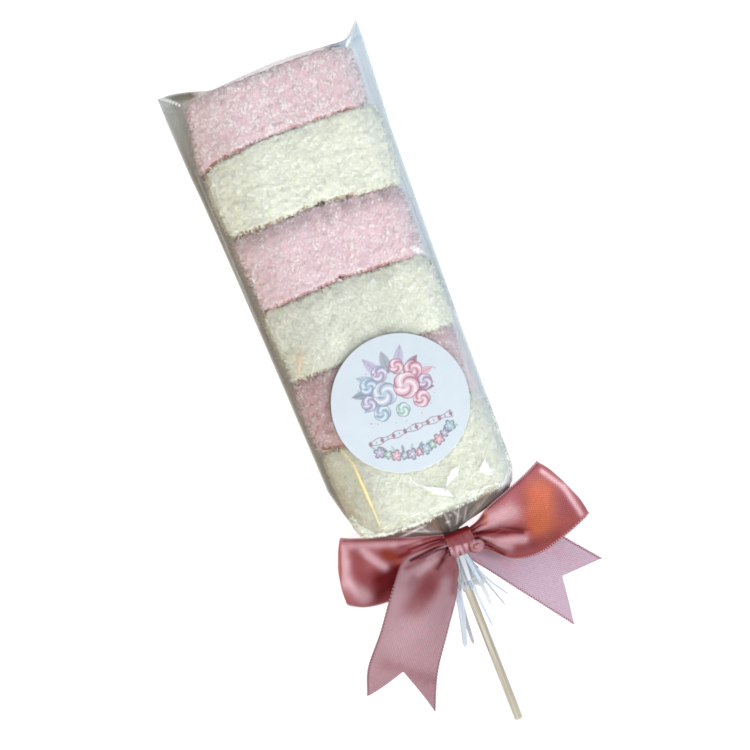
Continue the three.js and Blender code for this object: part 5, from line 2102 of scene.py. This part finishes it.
@dataclass
class Studio:
    """The pale floor, the soft light and the camera above the pack.

    Attributes:
        turn: How far the camera is turned, in radians.
        tilt: How far it leans to the left.
        distance: How far off it stands, in metres.
    """

    lights: tuple[SoftLight, ...] = (
        SoftLight("overhead", (0.0, 0.0, 1.0), 1.05, (1.3, 1.3), 0.95, (0.97, 0.99, 1.0)),
        SoftLight("floor_wash", (0.0, 0.0, 1.0), 1.05, (2.0, 2.0), 1.98, (1.0, 1.0, 1.0), ("floor",)),
        SoftLight("window", (0.05, -0.42, 0.906), 1.1, (0.20, 0.20), 24.0, (0.95, 0.98, 1.0)),
        SoftLight("low_front", (-0.05, -0.85, 0.42), 1.3, (1.2, 0.7), 4.8, (1.0, 0.99, 0.96)),
        SoftLight("cool_right", (0.85, 0.15, 0.5), 1.2, (0.9, 0.9), 1.5, (0.80, 0.91, 1.0)),
        SoftLight("warm_left", (-0.85, -0.1, 0.5), 1.2, (0.7, 0.7), 1.7, (1.0, 0.86, 0.66)),
        SoftLight("loop_sky", (0.0, 0.34, 0.94), 1.1, (0.32, 0.32), 8.0, (1.0, 0.93, 0.96), ("ribbon_loop",)),
        SoftLight("tail_right", (0.26, -0.28, 0.91), 1.1, (0.6, 0.6), 5.6, (0.90, 0.90, 1.0),
                  ("ribbon_tail_right",)),
        SoftLight("tail_left", (-0.12, -0.85, 0.52), 1.1, (0.5, 0.3), 5.5, (0.98, 0.96, 1.0),
                  ("ribbon_tail_left",)),
        SoftLight("knot_light", (0.0, -0.5, 0.87), 1.1, (0.4, 0.4), 9.0, (1.0, 0.93, 0.96), ("ribbon_knot",)),
        SoftLight("rim_left", (-0.9, 0.1, 0.42), 1.0, (0.4, 0.4), 5.0, (1.0, 0.92, 0.94), ("ribbon_loop",)),
        SoftLight("rim_right", (0.9, 0.1, 0.36), 1.0, (0.4, 0.3), 4.0, (1.0, 0.90, 0.95), ("ribbon_loop",)),
        SoftLight("warm_lamp", (0.57, -0.05, 0.82), 1.0, (0.4, 0.3), 2.5, (1.0, 0.40, 0.12),
                  ("ribbon_loop_right",)),
        SoftLight("satin_left", (-0.75, 0.35, 0.56), 1.1, (0.8, 0.8), 2.0, (1.0, 0.96, 0.98), ("ribbon_",)),
        SoftLight("satin_right", (0.75, 0.35, 0.56), 1.1, (0.8, 0.8), 2.0, (1.0, 0.96, 0.98), ("ribbon_",)),
    )
    turn: float = math.radians(21.4)
    tilt: float = math.radians(4.0)
    distance: float = 0.85
    lens: float = 112.6
    aim: Place = (-1.84, -31.4, 15.0)
    floor_z: float = -0.06

    def floor(self, finish: Material) -> None:
        """A wide flat floor just under the pack.

        Args:
            finish: The floor's material.
        """
        reach = 4000.0
        corners = np.array([(x * reach, y * reach, self.floor_z)
                            for x, y in ((-1, -1), (1, -1), (1, 1), (-1, 1))])
        made = Shell(corners, [np.array([[0, 1, 2, 3]])]).piece("floor", finish)
        made.parent = None

    def world(self) -> None:
        """Dim light from all round, warm at the left and cool at the right, and plain to the camera."""
        world = bpy.data.worlds.new("soft_room")
        bpy.context.scene.world = world
        world.use_nodes = True
        bench = Bench(world.node_tree)
        way = bench.node("TexCoord").outputs["Generated"]
        parts = bench.node("SeparateXYZ", {0: way}).outputs
        sky = bench.blend(bench.span(parts[0], -0.8, 0.8, 0, 1), (0.21, 0.18, 0.15), (0.21, 0.25, 0.30))
        plain = bench.blend(bench.node("LightPath").outputs["Is Camera Ray"], sky, (0.93, 0.93, 0.93))
        bench.feed(world.node_tree.nodes["Background"], {"Color": plain, "Strength": 1.0})

    def camera(self) -> None:
        """A long lens that looks down on the front, turned so that the sealed end is up and left."""
        eye = bpy.data.cameras.new("camera")
        eye.lens = self.lens
        eye.sensor_width = 36.0
        eye.clip_start, eye.clip_end = 0.05, 50.0
        made = bpy.data.objects.new("camera", eye)
        back = Vector((-math.sin(self.tilt), 0.0, math.cos(self.tilt)))
        up = Vector((math.sin(self.turn), math.cos(self.turn), 0.0))
        right = up.cross(back).normalized()
        up = back.cross(right)
        place = Vector(self.aim) * MM + back * self.distance
        made.matrix_world = Matrix.Translation(place) @ Matrix((right, up, back)).transposed().to_4x4()
        bpy.context.scene.collection.objects.link(made)
        bpy.context.scene.camera = made

    def build(self, floor_finish: Material) -> None:
        """Sets up the studio.

        Args:
            floor_finish: The floor's material.
        """
        self.floor(floor_finish)
        self.world()
        for light in self.lights:
            light.build()
        self.camera()
        bpy.context.scene.view_settings.view_transform = "Standard"


def main() -> None:
    """Builds the pack piece by piece, then the studio."""
    logging.basicConfig(level=logging.INFO, format="%(name)s %(message)s")
    # deep is a painted red-brown shade between the blocks and low on their faces; shade lies between the
    # flakes.
    coatings = {
        Slot.PINK: CoatingFinish("pink_coating", deep=(0.60, 0.19, 0.15), shade=(0.88, 0.59, 0.625),
                                 main=(0.915, 0.725, 0.785), pale=(0.99, 0.93, 0.885)),
        Slot.CREAM: CoatingFinish("cream_coating", deep=(0.50, 0.19, 0.13), shade=(0.865, 0.88, 0.70),
                                  main=(0.915, 0.955, 0.82), pale=(0.95, 0.97, 0.875)),
    }
    coated = {slot: finish.build() for slot, finish in coatings.items()}
    for block in block_row():
        block.build(coated[block.slot])
    film = FilmFinish("film").build()
    FilmBag().build(film)
    FilmTuft().build(film)
    BambooStick().build(BambooFinish("stick_wood").build())
    RoundLabel().build(PaperFinish("label_paper").build())
    satin = SatinFinish("satin").build()
    RibbonKnot().build(satin)
    for part in bow_parts():
        part.build(satin)
    Studio().build(FloorFinish("floor_paper").build())
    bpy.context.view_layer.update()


if __name__ == "__main__":
    main()
